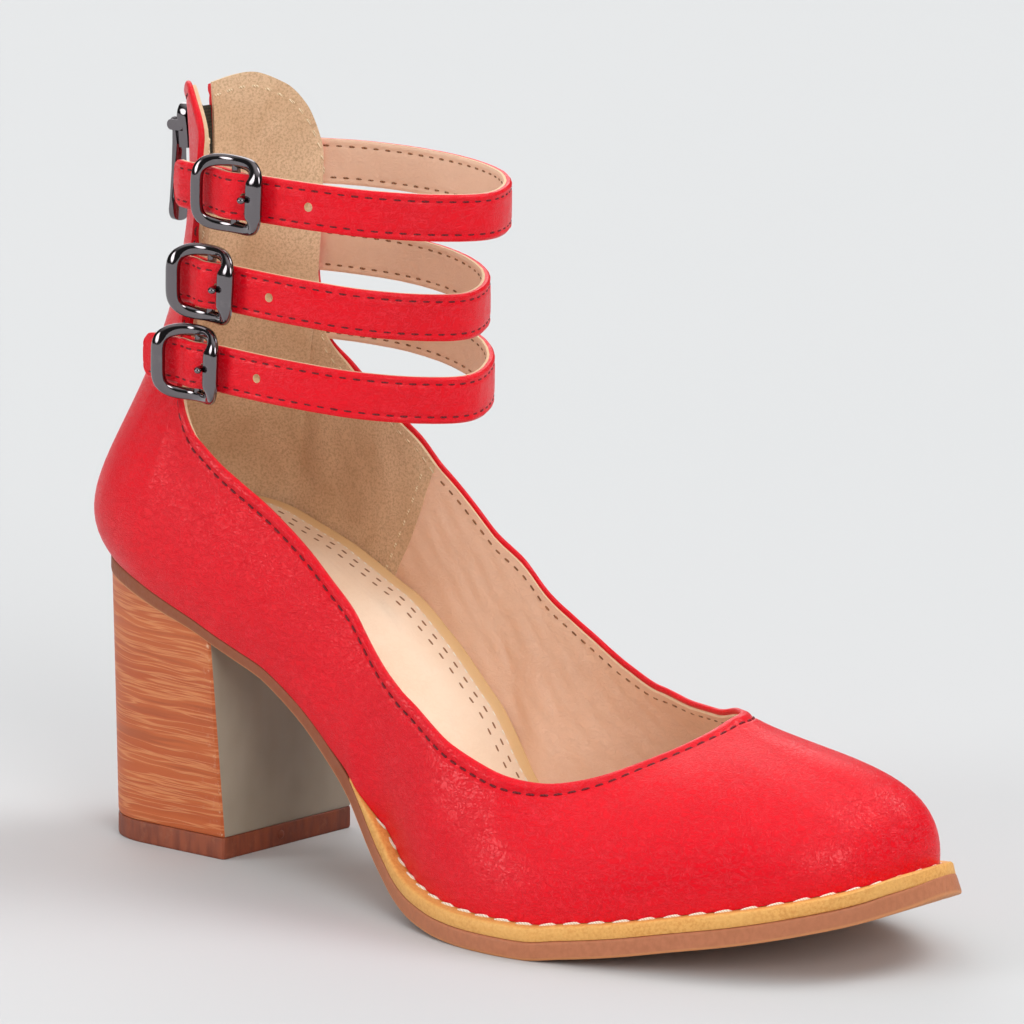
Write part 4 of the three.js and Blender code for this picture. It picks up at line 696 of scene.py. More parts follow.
def inner_layer(name, first_turn, last_turn, columns, depth, thickness, drop, materials, creases=0.0,
                tab_cover=0.0):
    """A layer inside the wall between two slanting ends: each end is its turn at the foot and at the
    topline. The layer's rim is cut square and shows the second material."""
    across = np.linspace(0, 1, columns)[:, None]
    level = np.linspace(0, 1, 44)[None, :]
    level = 1 - (1 - level) ** 1.35
    start = first_turn[0] + (first_turn[1] - first_turn[0]) * level
    finish = last_turn[0] + (last_turn[1] - last_turn[0]) * level
    turn = start + (finish - start) * across
    covered = drop - tab_cover * smoothstep(0.885, 0.915, turn)
    rise = rise_below(turn, covered) * level
    place, out, up = wall_frame(turn, rise)
    wave = np.sin(turn * 310 + 9 * rise) * np.sin(rise * 23 - turn * 120)
    wave += 0.6 * np.sin(turn * 173 - 31 * rise)
    fade = smoothstep(0.02, 0.2, rise) * smoothstep(1.0, 0.86, rise)
    back = place - out * depth
    front = place - out * (depth + thickness + creases * (wave * fade))[..., None]
    rings = np.concatenate([back, front[:, ::-1]], axis=1)
    corner = np.arange(2 * back.shape[1]) - back.shape[1]
    cut_edge = np.where((corner == -1) | (corner == 0), 1, 0)
    return make_piece(name, rings, materials, parts=cut_edge[None, :], sharp=60)


lining = inner_layer("lining", (0.115, 0.115), (0.885, 0.885), 300, LEATHER + GLUE_LINE, LINING, LINING_DROP,
                     [peach_lining, cream_edge], creases=0.10)
inner_turns = np.linspace(GRIP_EDGE_OUTER[1], GRIP_EDGE_INNER[1], 3600)
seam_line, seam_out, _ = wall_frame(inner_turns, rise_below(inner_turns, INNER_SEAM_AT))
inside = LEATHER + GLUE_LINE + LINING
lining_stitches = stitch_row("lining_stitches", seam_line - inside * seam_out, -seam_out, 3.0, 2.0, 0.5,
                             brown_thread)

# Heel grip: soft beige suede that lines the heel and both tabs, laid over the lining and edge-sewn with
# cream thread along the tabs and down its two front edges.
SUEDE = 0.85
FRONT_SEAM_INSET = 0.0055

suede, tree, shader, place = start_material("beige suede")
nap = stretched_noise(tree, place, (1900, 1900, 1900), detail=4.0, roughness=0.7)
stroke = stretched_noise(tree, place, (70, 70, 45), detail=4.0, distortion=0.6)
suede_colour = blend(tree, shade(tree, 0.0, 1.0, stroke, 0.36, 0.66), rgb(232, 200, 164), rgb(214, 178, 140))
suede_colour = blend(tree, shade(tree, 0.0, 0.55, nap, 0.45, 0.62), suede_colour, rgb(172, 134, 98))
finish_surface(tree, shader, suede_colour, shade(tree, 0.85, 0.98, nap), nap, 0.16)
shader.inputs["Sheen Weight"].default_value = 0.25
shader.inputs["Sheen Roughness"].default_value = 0.5

grip_outer = inner_layer("heel_grip_outer", (ZIP_EDGE, ZIP_EDGE), GRIP_EDGE_OUTER, 130,
                         LEATHER + GLUE_LINE, SUEDE, LINING_DROP, [suede, cream_edge], creases=0.03)
grip_inner = inner_layer("heel_grip_inner", GRIP_EDGE_INNER, (1 - ZIP_EDGE, 1 - ZIP_EDGE), 130,
                         LEATHER + GLUE_LINE, SUEDE, LINING_DROP, [suede, cream_edge], creases=0.03,
                         tab_cover=1.15)
for name, first, last, edge in (
        ("grip_stitches_outer", ZIP_EDGE, GRIP_EDGE_OUTER[1], GRIP_EDGE_OUTER),
        ("grip_stitches_inner", GRIP_EDGE_INNER[1], 1 - ZIP_EDGE, GRIP_EDGE_INNER)):
    turns_here = np.linspace(first, last, 1500)
    seam_line, seam_out, _ = wall_frame(turns_here, rise_below(turns_here, INNER_SEAM_AT))
    inside = LEATHER + GLUE_LINE + SUEDE
    row = stitch_row(name, seam_line - inside * seam_out, -seam_out, 3.0, 2.0, 0.6, cream_thread)
    level = np.linspace(0.1, 0.93, 700)
    back = FRONT_SEAM_INSET if name.endswith("inner") else -FRONT_SEAM_INSET
    seam_line, seam_out, _ = wall_frame(edge[0] + (edge[1] - edge[0]) * level + back, level)
    row = stitch_row(name + "_front", seam_line - inside * seam_out, -seam_out, 3.0, 2.0, 0.6, cream_thread)

# Sock: pale peach leather over the padded insole, filling the shoe from wall to wall. Two rows of small
# brown dashes are punched round it; the maker's place at the heel is left bare.
INSOLE_THICKNESS = 4.6
HEEL_PADDING = 4.4
HEEL_SEAT_LENGTH = 47.0
DASH_PITCH = 4.2
DASH_INSETS = (6.3, 8.7)
BAND_INSET = 4.4


def insole_top(x):
    """Height of the sock: the insole's thickness over the outsole, with more padding at the heel."""
    padding = HEEL_PADDING * (1 - smoothstep(HEEL_SEAT_LENGTH, 2 * HEEL_SEAT_LENGTH, x))
    return outsole_top(x) + SEAM + (INSOLE_THICKNESS + padding) * steepness(x)


def lining_edge(turn, height, inset):
    """Where the inside of the wall meets a surface: each section is followed up to that height."""
    turn = np.clip(turn, ZIP_EDGE, 1 - ZIP_EDGE)
    rises = np.linspace(0, 0.5, 161)
    section = wall(turn[:, None], rises[None, :])
    level = np.maximum(height(section[:, :1, 0]), section[:, :1, 2])
    first = np.argmax(section[..., 2] >= level, axis=1)
    point, out, _ = wall_frame(turn, rises[first])
    return (point - out * inset)[:, :2]


sock_leather, tree, shader, place = start_material("sock leather")
grained = use_group(tree, grain, {"Position": place, "Creases": 420.0, "Pebbles": 1600.0, "Clouds": 30.0})
rim = add_node(tree, "ShaderNodeAttribute", attribute_name="rim").outputs["Fac"]
sock_clouds = shade(tree, 0.0, 0.5, grained["Cloud"], 0.4, 0.65)
sock_colour = blend(tree, sock_clouds, rgb(240, 214, 188), rgb(228, 194, 162))
sock_colour = blend(tree, shade(tree, 0.0, 0.15, grained["Cracks"]), sock_colour, rgb(214, 172, 136))
sock_colour = blend(tree, shade(tree, 0.0, 0.8, rim, 0.3, 1.0), sock_colour, rgb(226, 184, 122))
finish_surface(tree, shader, sock_colour, shade(tree, 0.5, 0.62, grained["Cracks"]), grained["Height"], 0.05)

sock_outline = lining_edge(turns, insole_top, LEATHER + LINING + 0.35)
for _ in range(90):
    neighbours = np.roll(sock_outline, 1, axis=0), np.roll(sock_outline, -1, axis=0)
    sock_outline = (neighbours[0] + 2 * sock_outline + neighbours[1]) / 4
sock_middle = np.array([SOLE_LENGTH * 0.48, 0.0])
sock_steps = [(share, 1.0, 0.0, 0.0) for share in np.linspace(0.02, 0.97, 24)]
sock_steps += [(1.0, 0.0, 0.1, 0.0), (1.0, 0.0, 0.6, 0.0), (1.0, 0.05, 0.93, 0.0), (1.0, 0.35, 1.0, -0.12)]
sock_steps += [(1.0, inset, 1.0, 0.0) for inset in (0.9, 1.8, 3.0, 4.0, 4.6, 6.0, 7.5, 9.0, 11.0)]
sock_steps += [(share, 11.0, 1.0, 0.0) for share in np.geomspace(0.96, 0.0006, 40)]


def over_sole(x):
    """Height of the insole's underside, just over the outsole."""
    return outsole_top(x) + SEAM


sock_rings = carried_round(sock_outline, sole_outward, sock_middle, sock_steps, over_sole, insole_top)
rim_shares = np.zeros(len(sock_steps))
rim_shares[:33] = [1.0] * 31 + [0.9, 0.2]
sock = make_piece("sock", sock_rings, [sock_leather], values={"rim": rim_shares[None, :, None]})
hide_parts("insole")

dash_brown, tree, shader, place = start_material("punched dash")
dash_cloud = stretched_noise(tree, place, (1200, 1200, 1200))
finish_surface(tree, shader, blend(tree, dash_cloud, rgb(120, 78, 48), rgb(156, 108, 72)),
               shade(tree, 0.6, 0.8, dash_cloud), dash_cloud, 0.05)


def ring_on_sock(inset):
    """A closed line on the sock inside its edge, with the direction up from the surface."""
    flat = sock_outline - sole_outward[:, :2] * inset
    ring = np.concatenate([flat, insole_top(flat[:, 0])[:, None]], axis=-1)
    ring = np.vstack([ring, ring[:1]])
    slope = (insole_top(ring[:, 0] + 1) - insole_top(ring[:, 0] - 1)) / 2
    return ring, np.stack([-slope, 0 * slope, 1 + 0 * slope], axis=-1)


for number, inset in enumerate(DASH_INSETS):
    ring, up = ring_on_sock(inset)
    dashes = stitch_row(f"sock_dashes_{number + 1}", ring - 0.03 * up, up, DASH_PITCH, 2.4, 0.8, dash_brown,
                        sink=0.02, height=0.25)

ring = ring_on_sock(BAND_INSET)[0]
band_stitches = stitch_row("sock_band_stitches", ring, up, 2.4, 1.7, 0.42, white_thread, height=0.5)

# Heel block: stacked wood, shaped round the heel seat and narrower at the base, stained and sealed. Its
# straight breast is covered with a smooth taupe facing.
HEEL_BASE_LENGTH = 41.0
HEEL_BASE_WIDTH = 43.5
HEEL_BASE_SETBACK = 4.0
HEEL_INSET = 0.4
TOP_LIFT_THICKNESS = 5.0
HEEL_ROUNDNESS = 2.7
HEEL_ROUND_SHARE = 0.45
HEEL_GAP = 0.05
LIFT_GAP = 0.12
BREAST_POINTS = 21

wood, tree, shader, place = start_material("heel wood")
parts = add_node(tree, "ShaderNodeSeparateXYZ", {"Vector": place})
warp = stretched_noise(tree, place, (38, 38, 55), detail=2.0)
raised = math_of(tree, "ADD", parts.outputs["Z"], shade(tree, -0.0005, 0.0005, warp, 0.3, 0.7))
warped = add_node(tree, "ShaderNodeCombineXYZ", {
    "X": parts.outputs["X"], "Y": parts.outputs["Y"], "Z": raised}).outputs[0]
broad = stretched_noise(tree, warped, (6, 6, 300), detail=3.0)
fine = stretched_noise(tree, warped, (26, 26, 640), detail=2.0, roughness=0.5)
lines = shade(tree, 1.0, 0.0, math_of(tree, "ABSOLUTE", math_of(tree, "SUBTRACT", fine, 0.5)), 0.0, 0.05)
marks = use_group(tree, scuffing, {"Position": place, "Along": (60.0, 60.0, 1200.0), "Spots": 620.0})
wear = add_node(tree, "ShaderNodeAttribute", attribute_name="wear").outputs["Fac"]
wood_colour = blend(tree, shade(tree, 0.0, 1.0, broad, 0.36, 0.66), rgb(184, 84, 36), rgb(198, 100, 46))
wood_colour = blend(tree, math_of(tree, "MULTIPLY", lines, 0.6), wood_colour, rgb(228, 152, 96))
wood_colour = blend(tree, shade(tree, 0.0, 0.5, fine, 0.40, 0.28), wood_colour, rgb(150, 66, 26))
chipped = math_of(tree, "MULTIPLY", wear, marks["Spots"])
wood_colour = blend(tree, chipped, wood_colour, rgb(232, 206, 172))
finish_surface(tree, shader, wood_colour, shade(tree, 0.42, 0.6, fine), lines, 0.06)

taupe, tree, shader, place = start_material("taupe facing")
marks = use_group(tree, scuffing, {"Position": place, "Along": (300.0, 300.0, 30.0), "Spots": 60.0})
soft = stretched_noise(tree, place, (40, 40, 25))
facing = blend(tree, shade(tree, 0.0, 1.0, soft, 0.35, 0.7), rgb(172, 160, 142), rgb(150, 138, 120))
finish_surface(tree, shader, facing, shade(tree, 0.38, 0.52, marks["Scratches"]), marks["Scratches"], 0.02)


def heel_outline(start, finish, outer, inner, chamfer=0.5):
    """A ring with a rounded back and a straight breast: from the outer breast corner round the back to
    the inner one and straight across, each corner cut by a narrow chamfer."""
    share = (1 - np.cos(np.linspace(0, np.pi, 71))) / 2
    side = start + (finish - chamfer - start) * share
    across = np.linspace(inner(finish) - chamfer, outer(finish) + chamfer, BREAST_POINTS)
    breast = np.stack([np.full(BREAST_POINTS, finish), across], axis=-1)
    first = np.stack([side[::-1], outer(side[::-1])], axis=-1)
    second = np.stack([side[1:], inner(side[1:])], axis=-1)
    return np.vstack([first, second, breast])


def side_of(half):
    """The sole's outline on one side as a height over the length."""
    ordered = half[np.argsort(half[:, 0])]

    def across_at(x):
        """The side's distance from the middle at a length."""
        return np.interp(x, ordered[:, 0], ordered[:, 1])

    return across_at


outer_side_y = side_of(sole_loop[sole_loop[:, 1] <= 0])
inner_side_y = side_of(sole_loop[sole_loop[:, 1] >= 0])


def seat_outer(x):
    """The heel seat's outer side, a little inside the sole's."""
    return np.minimum(0, outer_side_y(x) + HEEL_INSET)


def seat_inner(x):
    """The heel seat's inner side, a little inside the sole's."""
    return np.maximum(0, inner_side_y(x) - HEEL_INSET)


seat_outline = heel_outline(HEEL_INSET, HEEL_SEAT_LENGTH, seat_outer, seat_inner)


def base_half(x):
    """Half the base's width: a superellipse at the back that runs into straight sides."""
    share = np.clip((x - HEEL_BASE_SETBACK) / (HEEL_BASE_LENGTH * HEEL_ROUND_SHARE), 0, 1)
    return HEEL_BASE_WIDTH / 2 * (1 - (1 - share) ** HEEL_ROUNDNESS) ** (1 / HEEL_ROUNDNESS)


def base_outer(x):
    """The outer side of the base, which mirrors the inner one."""
    return -base_half(x)


def under_sole(x):
    """Height of the heel seat's face against the outsole."""
    return outsole_underside(x) + HEEL_GAP


base_outline = heel_outline(
    HEEL_BASE_SETBACK, HEEL_BASE_SETBACK + HEEL_BASE_LENGTH, base_outer, base_half)
seat_ring = np.concatenate([seat_outline, under_sole(seat_outline[:, 0])[:, None]], axis=-1)
base_level = np.full((len(base_outline), 1), TOP_LIFT_THICKNESS + LIFT_GAP)
base_ring = np.concatenate([base_outline, base_level], axis=-1)


def shrunk(ring, share, height=None):
    """A ring drawn in towards its middle, for the flat face that closes a block."""
    middle = np.array([ring[:, 0].mean(), 0.0, 0.0])
    inner = middle + (ring - middle) * [share, share, 1.0]
    if height is not None:
        inner[:, 2] = height(inner[:, 0])
    return inner


levels = np.concatenate([[0.0, 0.006, 0.015], np.linspace(0.03, 0.97, 36), [0.985, 1.0]])
edge_draw = 1 - 0.012 * np.exp(-levels / 0.006)
heel_rings = [shrunk(base_ring, share) for share in (0.03, 0.5, 0.9)]
heel_rings += [shrunk(base_ring, draw) * (1 - level) + seat_ring * level
               for level, draw in zip(levels, edge_draw)]
heel_rings += [shrunk(seat_ring, share, under_sole) for share in (0.9, 0.7, 0.5, 0.3, 0.03)]
corner = np.zeros(len(base_outline))
BACK_POINTS = len(base_outline) - BREAST_POINTS
near_corner = np.minimum(np.arange(BACK_POINTS), np.arange(BACK_POINTS)[::-1])
corner[:BACK_POINTS] = np.exp(-near_corner / 5.0)
material_numbers = (np.arange(len(base_outline)) >= BACK_POINTS).astype(int)
heel = make_piece("heel_wood", np.array(heel_rings), [wood, taupe], parts=material_numbers[None, None, :],
                  values={"wear": corner[None, None, :]}, sharp=35)
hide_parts("heel_block")

# Top lift: a red-brown rubber plate nailed under the heel, cut flush with the wood. The head of its
# locating peg shows as a small nub on the breast side.
NUB_RADIUS = 1.1
NUB_SIDE = -2.5
NUB_HEIGHT = 2.6

lift_rubber, tree, shader, place = start_material("top lift rubber")
marks = use_group(tree, scuffing, {"Position": place, "Along": (500.0, 500.0, 120.0), "Spots": 300.0})
rubber_colour = blend(tree, marks["Scratches"], rgb(122, 56, 32), rgb(148, 74, 46))
rubber_colour = blend(tree, shade(tree, 0.0, 0.4, marks["Spots"]), rubber_colour, rgb(168, 104, 72))
finish_surface(tree, shader, rubber_colour, shade(tree, 0.5, 0.7, marks["Scratches"]),
               marks["Scratches"], 0.06)

lift_flat = np.concatenate([base_outline, np.zeros((len(base_outline), 1))], axis=-1)
lift_steps = [(0.03, 0.0), (0.5, 0.0), (0.94, 0.0), (0.985, 0.0), (0.996, 0.25), (1.0, 0.7), (1.0, 2.2),
              (1.0, 3.6), (1.0, 4.4), (0.997, 4.85), (0.988, TOP_LIFT_THICKNESS), (0.9, TOP_LIFT_THICKNESS),
              (0.5, TOP_LIFT_THICKNESS), (0.03, TOP_LIFT_THICKNESS)]
lift_rings = [shrunk(lift_flat, share) + [0, 0, height] for share, height in lift_steps]
lift = make_piece("top_lift_plate", np.array(lift_rings), [lift_rubber], sharp=35)
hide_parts("top_lift")
angle = (np.arange(16) / 16 * 2 * np.pi)[None, :]
bulge = np.linspace(0, 1, 6)[:, None]
nub_size = NUB_RADIUS * np.sqrt(np.clip(1 - 0.97 * bulge**2, 0, 1))
nub_rings = np.stack([HEEL_BASE_SETBACK + HEEL_BASE_LENGTH - 0.2 + 0.8 * bulge + 0 * angle,
                      NUB_SIDE + nub_size * np.cos(angle), NUB_HEIGHT + nub_size * np.sin(angle)], axis=-1)
nub = make_piece("top_lift_nub", nub_rings, [lift_rubber])

# Straps: three red leather straps lined with peach leather, edge-sewn, with punched holes. Each leaves
# the inner tab, goes round the shin and through its buckle, and ends free over the outer tab.
STRAP_WIDTH = 10.2
STRAP_THICKNESS = 2.0
STRAP_LOOP_WIDTH = 57.0
STRAP_REACH = 68.0
STRAP_HOLE = 2.0
BUCKLE_LENGTH = 20.4
BUCKLE_HEIGHT = 17.2
CENTRE_BAR = 2.0
BUCKLE_THICKNESS = 2.2
STRAP_ROUTE = np.array([
    [0.14, 0.93], [0.37, 1.00], [0.60, 0.95], [0.80, 0.75], [0.94, 0.40], [1.00, 0.00],
    [0.94, -0.40], [0.80, -0.75], [0.60, -0.95], [0.37, -1.02], [0.24, -1.00], [0.12, -0.965],
])
STRAPS = [
    {"name": "top", "buckle": 0.753, "shin": 0.704, "inner": 0.753, "reach": 1.015, "width": 1.000,
     "seat": 0.312, "hole": 1.00, "end": 0.000, "end_side": -0.84},
    {"name": "middle", "buckle": 0.458, "shin": 0.385, "inner": 0.471, "reach": 0.925, "width": 0.967,
     "seat": 0.205, "hole": 0.89, "end": -0.030, "end_side": -0.89},
    {"name": "lower", "buckle": 0.203, "shin": 0.130, "inner": 0.249, "reach": 0.938, "width": 1.015,
     "seat": 0.155, "hole": 0.94, "end": -0.107, "end_side": -0.93},
]
TAB_EDGE = topline_point(np.array([0.083]))[0, 0]
COLLAR_HEIGHT = float(sole_line(TAB_EDGE)) + INSTEP_RISE
PRONG_HOLE = -4.4
TAB_OVERRUN = 4.0
STAND_OFF = 0.03
CENTRE_BAR_DEPTH = -0.15
HUMP = STRAP_THICKNESS / 2 + CENTRE_BAR / 2 + SEAM + CENTRE_BAR_DEPTH
HUMP_SPREAD = 4.6
STITCH_INSET = 1.5
END_ROUNDING = 2.6
TAB_OVERLAP = 3.0


def shaft_level(share):
    """Height of a share of the shaft's rise over the collar."""
    return COLLAR_HEIGHT + share * SHAFT_RISE


def tab_edge_at(height, side):
    """The tab's front edge at a height, on the outer (-1) or the inner (1) side: the foremost of its
    outer and inner corner."""
    span = (0.045, 0.100) if side < 0 else (0.904, 0.960)
    here = np.linspace(*span, 400)
    point, out, _ = wall_frame(here, np.ones(400))
    order = np.argsort(point[:, 2])
    behind = point - out * UPPER_WALL
    outer_x, outer_y = (np.interp(height, point[order, 2], point[order, k]) for k in range(2))
    order = np.argsort(behind[:, 2])
    inner_x, inner_y = (np.interp(height, behind[order, 2], behind[order, k]) for k in range(2))
    return np.maximum(outer_x, inner_x), (outer_y + inner_y) / 2


def strap_line(strap):
    """The strap's middle line from the inner tab to its free end: its ends keep their level and the
    stretch ahead sinks with the square of its reach."""
    reach, half = strap["reach"] * STRAP_REACH, strap["width"] * STRAP_LOOP_WIDTH / 2
    last = STRAP_ROUTE[-1]
    middle = [(last[0] + strap["end"]) / 2, (last[1] + strap["end_side"]) / 2 - STAND_OFF]
    route = np.vstack([STRAP_ROUTE, middle, [strap["end"], strap["end_side"]]])
    level = np.where(route[:, 1] > 0, strap["inner"], strap["buckle"])
    forward = np.clip(route[:, 0], 0, 1) ** 2
    points = np.stack([TAB_EDGE + route[:, 0] * reach, route[:, 1] * half,
                       shaft_level(level + (strap["shin"] - level) * forward)], axis=-1)
    start_height = shaft_level(strap["inner"])
    x, y = tab_edge_at(start_height, 1)
    start = np.array([x - TAB_OVERRUN, y, start_height])
    return smooth_curve(np.vstack([start, points]), closed=False, steps=120)


def strap_placer(strap):
    """Gives place(behind, out, up): a point beside the buckle's centre bar, measured along the strap
    behind the bar, outwards and up."""
    line = strap_line(strap)
    lengths = lengths_along(line)
    seat_x = TAB_EDGE + strap["seat"] * strap["reach"] * STRAP_REACH
    late = (lengths > 0.6 * lengths[-1]) & (line[:, 0] <= seat_x)
    seat = lengths[np.argmax(late)]

    def place(behind, out, up):
        """A point: along the middle line first, then out square to it, then up across the strap."""
        behind, out, up = np.broadcast_arrays(*(np.asarray(v, float) for v in (behind, out, up)))
        here = np.clip(seat + behind, 0.3, lengths[-1] - 0.3)
        ahead = unit(read_along(line, lengths, here + 0.3) - read_along(line, lengths, here - 0.3))
        outward = unit(np.stack([-ahead[..., 1], ahead[..., 0], 0 * ahead[..., 0]], axis=-1))
        rise = np.cross(outward, ahead)
        rise *= np.where(rise[..., 2:] < 0, -1, 1)
        base = read_along(line, lengths, np.clip(seat + behind, 0, lengths[-1]))
        return base + outward * out[..., None] + rise * up[..., None]

    return place, -seat, lengths[-1] - seat


def hump_at(behind):
    """How far the strap humps out over the buckle's centre bar: a bell."""
    return HUMP * np.exp(-(behind / HUMP_SPREAD) ** 2)


def strap_section():
    """The strap's cross-section, once round, as shares of its half width and millimetres outwards: a
    softly crowned face with a groove for each stitch row, a squared edge, and a flatter inside."""
    up = np.concatenate([[-1.0, -0.985, -0.95, -0.9], np.linspace(-0.84, 0.84, 25), [0.9, 0.95, 0.985, 1.0]])
    groove = 0.2 * np.exp(-((np.abs(up) * STRAP_WIDTH / 2 - (STRAP_WIDTH / 2 - STITCH_INSET)) / 0.4) ** 2)
    edge = 0.42 * smoothstep(0.9, 1.0, np.abs(up))
    face = STRAP_THICKNESS / 2 + 0.05 - 0.08 * up**2 - groove - edge
    inside = -STRAP_THICKNESS / 2 + 0.7 * groove + 0.5 * edge
    up = np.concatenate([[-1.0, -1.0], up, [1.0, 1.0]])
    face = np.concatenate([[-0.25, 0.1], face, [0.1, -0.25]])
    inside = np.concatenate([[-0.25, -0.45], inside, [-0.45, -0.25]])
    part = np.concatenate([np.zeros(len(up)), np.full(len(up), 2)]).astype(int)
    part[[len(up) - 1, len(up), len(up) + 1]] = 1
    part[[0, -1, -2]] = 1
    return np.concatenate([up, up[::-1]]), np.concatenate([face, inside[::-1]]), part


def drill(piece, centres, directions, radius, material):
    """Round holes punched through a piece: a cylinder for each is cut out of its mesh."""
    tool_mesh = bmesh.new()
    for centre, direction in zip(centres, directions):
        turn = Vector(direction).to_track_quat("Z", "Y").to_matrix().to_4x4()
        spot = Matrix.Translation(Vector((np.asarray(centre) + SHIFT) * 0.001)) @ turn
        bmesh.ops.create_cone(tool_mesh, cap_ends=True, segments=28, radius1=radius * 0.001,
                              radius2=radius * 0.001, depth=0.008, matrix=spot)
    mesh = bpy.data.meshes.new("punch")
    tool_mesh.to_mesh(mesh)
    tool_mesh.free()
    mesh.materials.append(material)
    tool = bpy.data.objects.new("punch", mesh)
    bpy.context.scene.collection.objects.link(tool)
    cut = piece.modifiers.new("punched holes", "BOOLEAN")
    cut.operation, cut.object, cut.solver = "DIFFERENCE", tool, "EXACT"
    cut.material_mode = "TRANSFER"
    bpy.context.view_layer.update()
    cut_mesh = bpy.data.meshes.new_from_object(piece.evaluated_get(bpy.context.evaluated_depsgraph_get()))
    piece.modifiers.clear()
    old = piece.data
    piece.data = cut_mesh
    bpy.data.meshes.remove(old)
    bpy.data.objects.remove(tool)
    bpy.data.meshes.remove(mesh)


section_up, section_out, section_part = strap_section()
placers = {}
for strap in STRAPS:
    name = strap["name"]
    place, first, last = strap_placer(strap)
    placers[name] = place
    half = STRAP_WIDTH / 2
    starts = []
    for up in (-half, half):
        trial = np.linspace(first, first + 25, 1200)
        points = place(trial, 0, up)
        front, _ = tab_edge_at(points[:, 2], 1)
        starts.append(trial[np.argmax(points[:, 0] > front - TAB_OVERLAP)])
    start = starts[0] + (starts[1] - starts[0]) * (section_up + 1) / 2
    tail = 0.94 + 0.06 * np.sin(np.linspace(0, np.pi / 2, 28)[1:])
    share = np.concatenate([np.linspace(0, 0.94, 240), tail])
    behind = start[None, :] + (last - start[None, :]) * share[:, None]
    left = np.clip(END_ROUNDING - (last - behind), 0, END_ROUNDING)
    rounding = END_ROUNDING - np.sqrt(np.clip(END_ROUNDING**2 - left**2, 0, None))
    ripple = 0.05 * np.sin(behind * 0.9 + 2.2 * section_up) * np.sin(behind * 0.37)
    out = section_out[None, :] + hump_at(behind) + ripple
    rings = place(behind, out, section_up[None, :] * (half - rounding))
    band = make_piece(f"strap_{name}_band", rings, [strap_leather, cream_edge, peach_lining],
                      parts=section_part[None, :], sharp=60)
    hole_places = np.array([PRONG_HOLE, -strap["hole"] * BUCKLE_LENGTH])
    centres = place(hole_places, hump_at(hole_places), 0)
    directions = place(hole_places, 1, 0) - place(hole_places, 0, 0)
    drill(band, centres, directions, STRAP_HOLE / 2, cream_edge)
    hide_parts(f"strap_{name}")
    for side, label in ((-1, "low"), (1, "high")):
        run = np.linspace(starts[0 if side < 0 else 1] + 1.0, last - 1.6, 1500)
        up = side * (half - STITCH_INSET)
        face = place(run, hump_at(run) + STRAP_THICKNESS / 2 - 0.18, up)
        outward = place(run, 1, up) - place(run, 0, up)
        row = stitch_row(f"strap_{name}_stitches_{label}", face, outward, 3.1, 2.2, 0.48, red_thread)
        back = place(run, hump_at(run) - STRAP_THICKNESS / 2 + 0.12, up)
        row = stitch_row(f"strap_{name}_lining_stitches_{label}", back, -outward, 3.1, 1.9, 0.48,
                         brown_thread)

# Chapes: a short folded red strap sewn to the outer tab holds each buckle by its centre bar.
CHAPE_WIDTH = 9.0
CHAPE_THICKNESS = 1.5
CHAPE_CURVE = CENTRE_BAR / 2 + SEAM + CHAPE_THICKNESS / 2
CHAPE_OVERLAP = 0.3
CHAPE_STATIONS = 12
for strap in STRAPS:
    name = strap["name"]
    place = placers[name]
    level = shaft_level(strap["buckle"])
    edge_x, edge_y = tab_edge_at(level, -1)
    under_bar = place(0, CENTRE_BAR_DEPTH - CHAPE_CURVE, 0)
    edge = np.array([edge_x, edge_y, level])
    along = unit(under_bar - edge)
    straight_out = unit(np.array([along[1], -along[0], 0.0]))
    share = np.linspace(0, 1, CHAPE_STATIONS)[:, None]
    centres = edge * (1 - share) + under_bar * share
    outs = np.repeat(straight_out[None], CHAPE_STATIONS, axis=0)
    bend = np.radians(np.linspace(10, 100, 14))
    wrapped = place(-CHAPE_CURVE * np.sin(bend), CENTRE_BAR_DEPTH - CHAPE_CURVE * np.cos(bend), 0)
    towards = unit(place(0, CENTRE_BAR_DEPTH, 0) - wrapped)
    centres, outs = np.vstack([centres, wrapped]), np.vstack([outs, towards])
    up = np.concatenate([np.linspace(-1, 1, 13), np.linspace(1, -1, 13)])
    rounded = 1 - 0.35 * np.abs(up) ** 10
    out = np.concatenate([np.ones(13), -np.ones(13)]) * CHAPE_THICKNESS / 2 * rounded
    rings = centres[:, None] + outs[:, None] * out[None, :, None] + np.array([0, 0, 1.0]) * (
        up * CHAPE_WIDTH / 2)[None, :, None]
    front, _ = tab_edge_at(rings[0, :, 2], -1)
    rings[0, :, 0] = front - CHAPE_OVERLAP
    chape = make_piece(f"chape_{name}_leather", rings, [strap_leather])
    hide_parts(f"chape_{name}")

# Buckles and prongs: cast frames polished and plated in dark gunmetal, with broad rounded front bars.
# The prong turns on the centre bar, passes through the strap's hole and lies on the front bar.
BUCKLE_SIDE_BAR = 2.7
BUCKLE_FRONT_BAR = 4.2
BUCKLE_REAR_BAR = 2.9
BUCKLE_CORNER = 4.4
PRONG_DIAMETER = 1.5
BUCKLE_ARCH = STRAP_THICKNESS / 2 + BUCKLE_THICKNESS / 2 - CENTRE_BAR_DEPTH + 4.5 * SEAM

gunmetal, tree, shader, place = start_material("dark gunmetal")
marks = use_group(tree, scuffing, {"Position": place, "Along": (220.0, 220.0, 220.0), "Spots": 260.0})
metal_colour = blend(tree, marks["Spots"], rgb(122, 116, 119), rgb(134, 127, 129))
finish_surface(tree, shader, metal_colour, shade(tree, 0.06, 0.11, marks["Scratches"]),
               marks["Scratches"], 0.002)
shader.inputs["Metallic"].default_value = 1.0


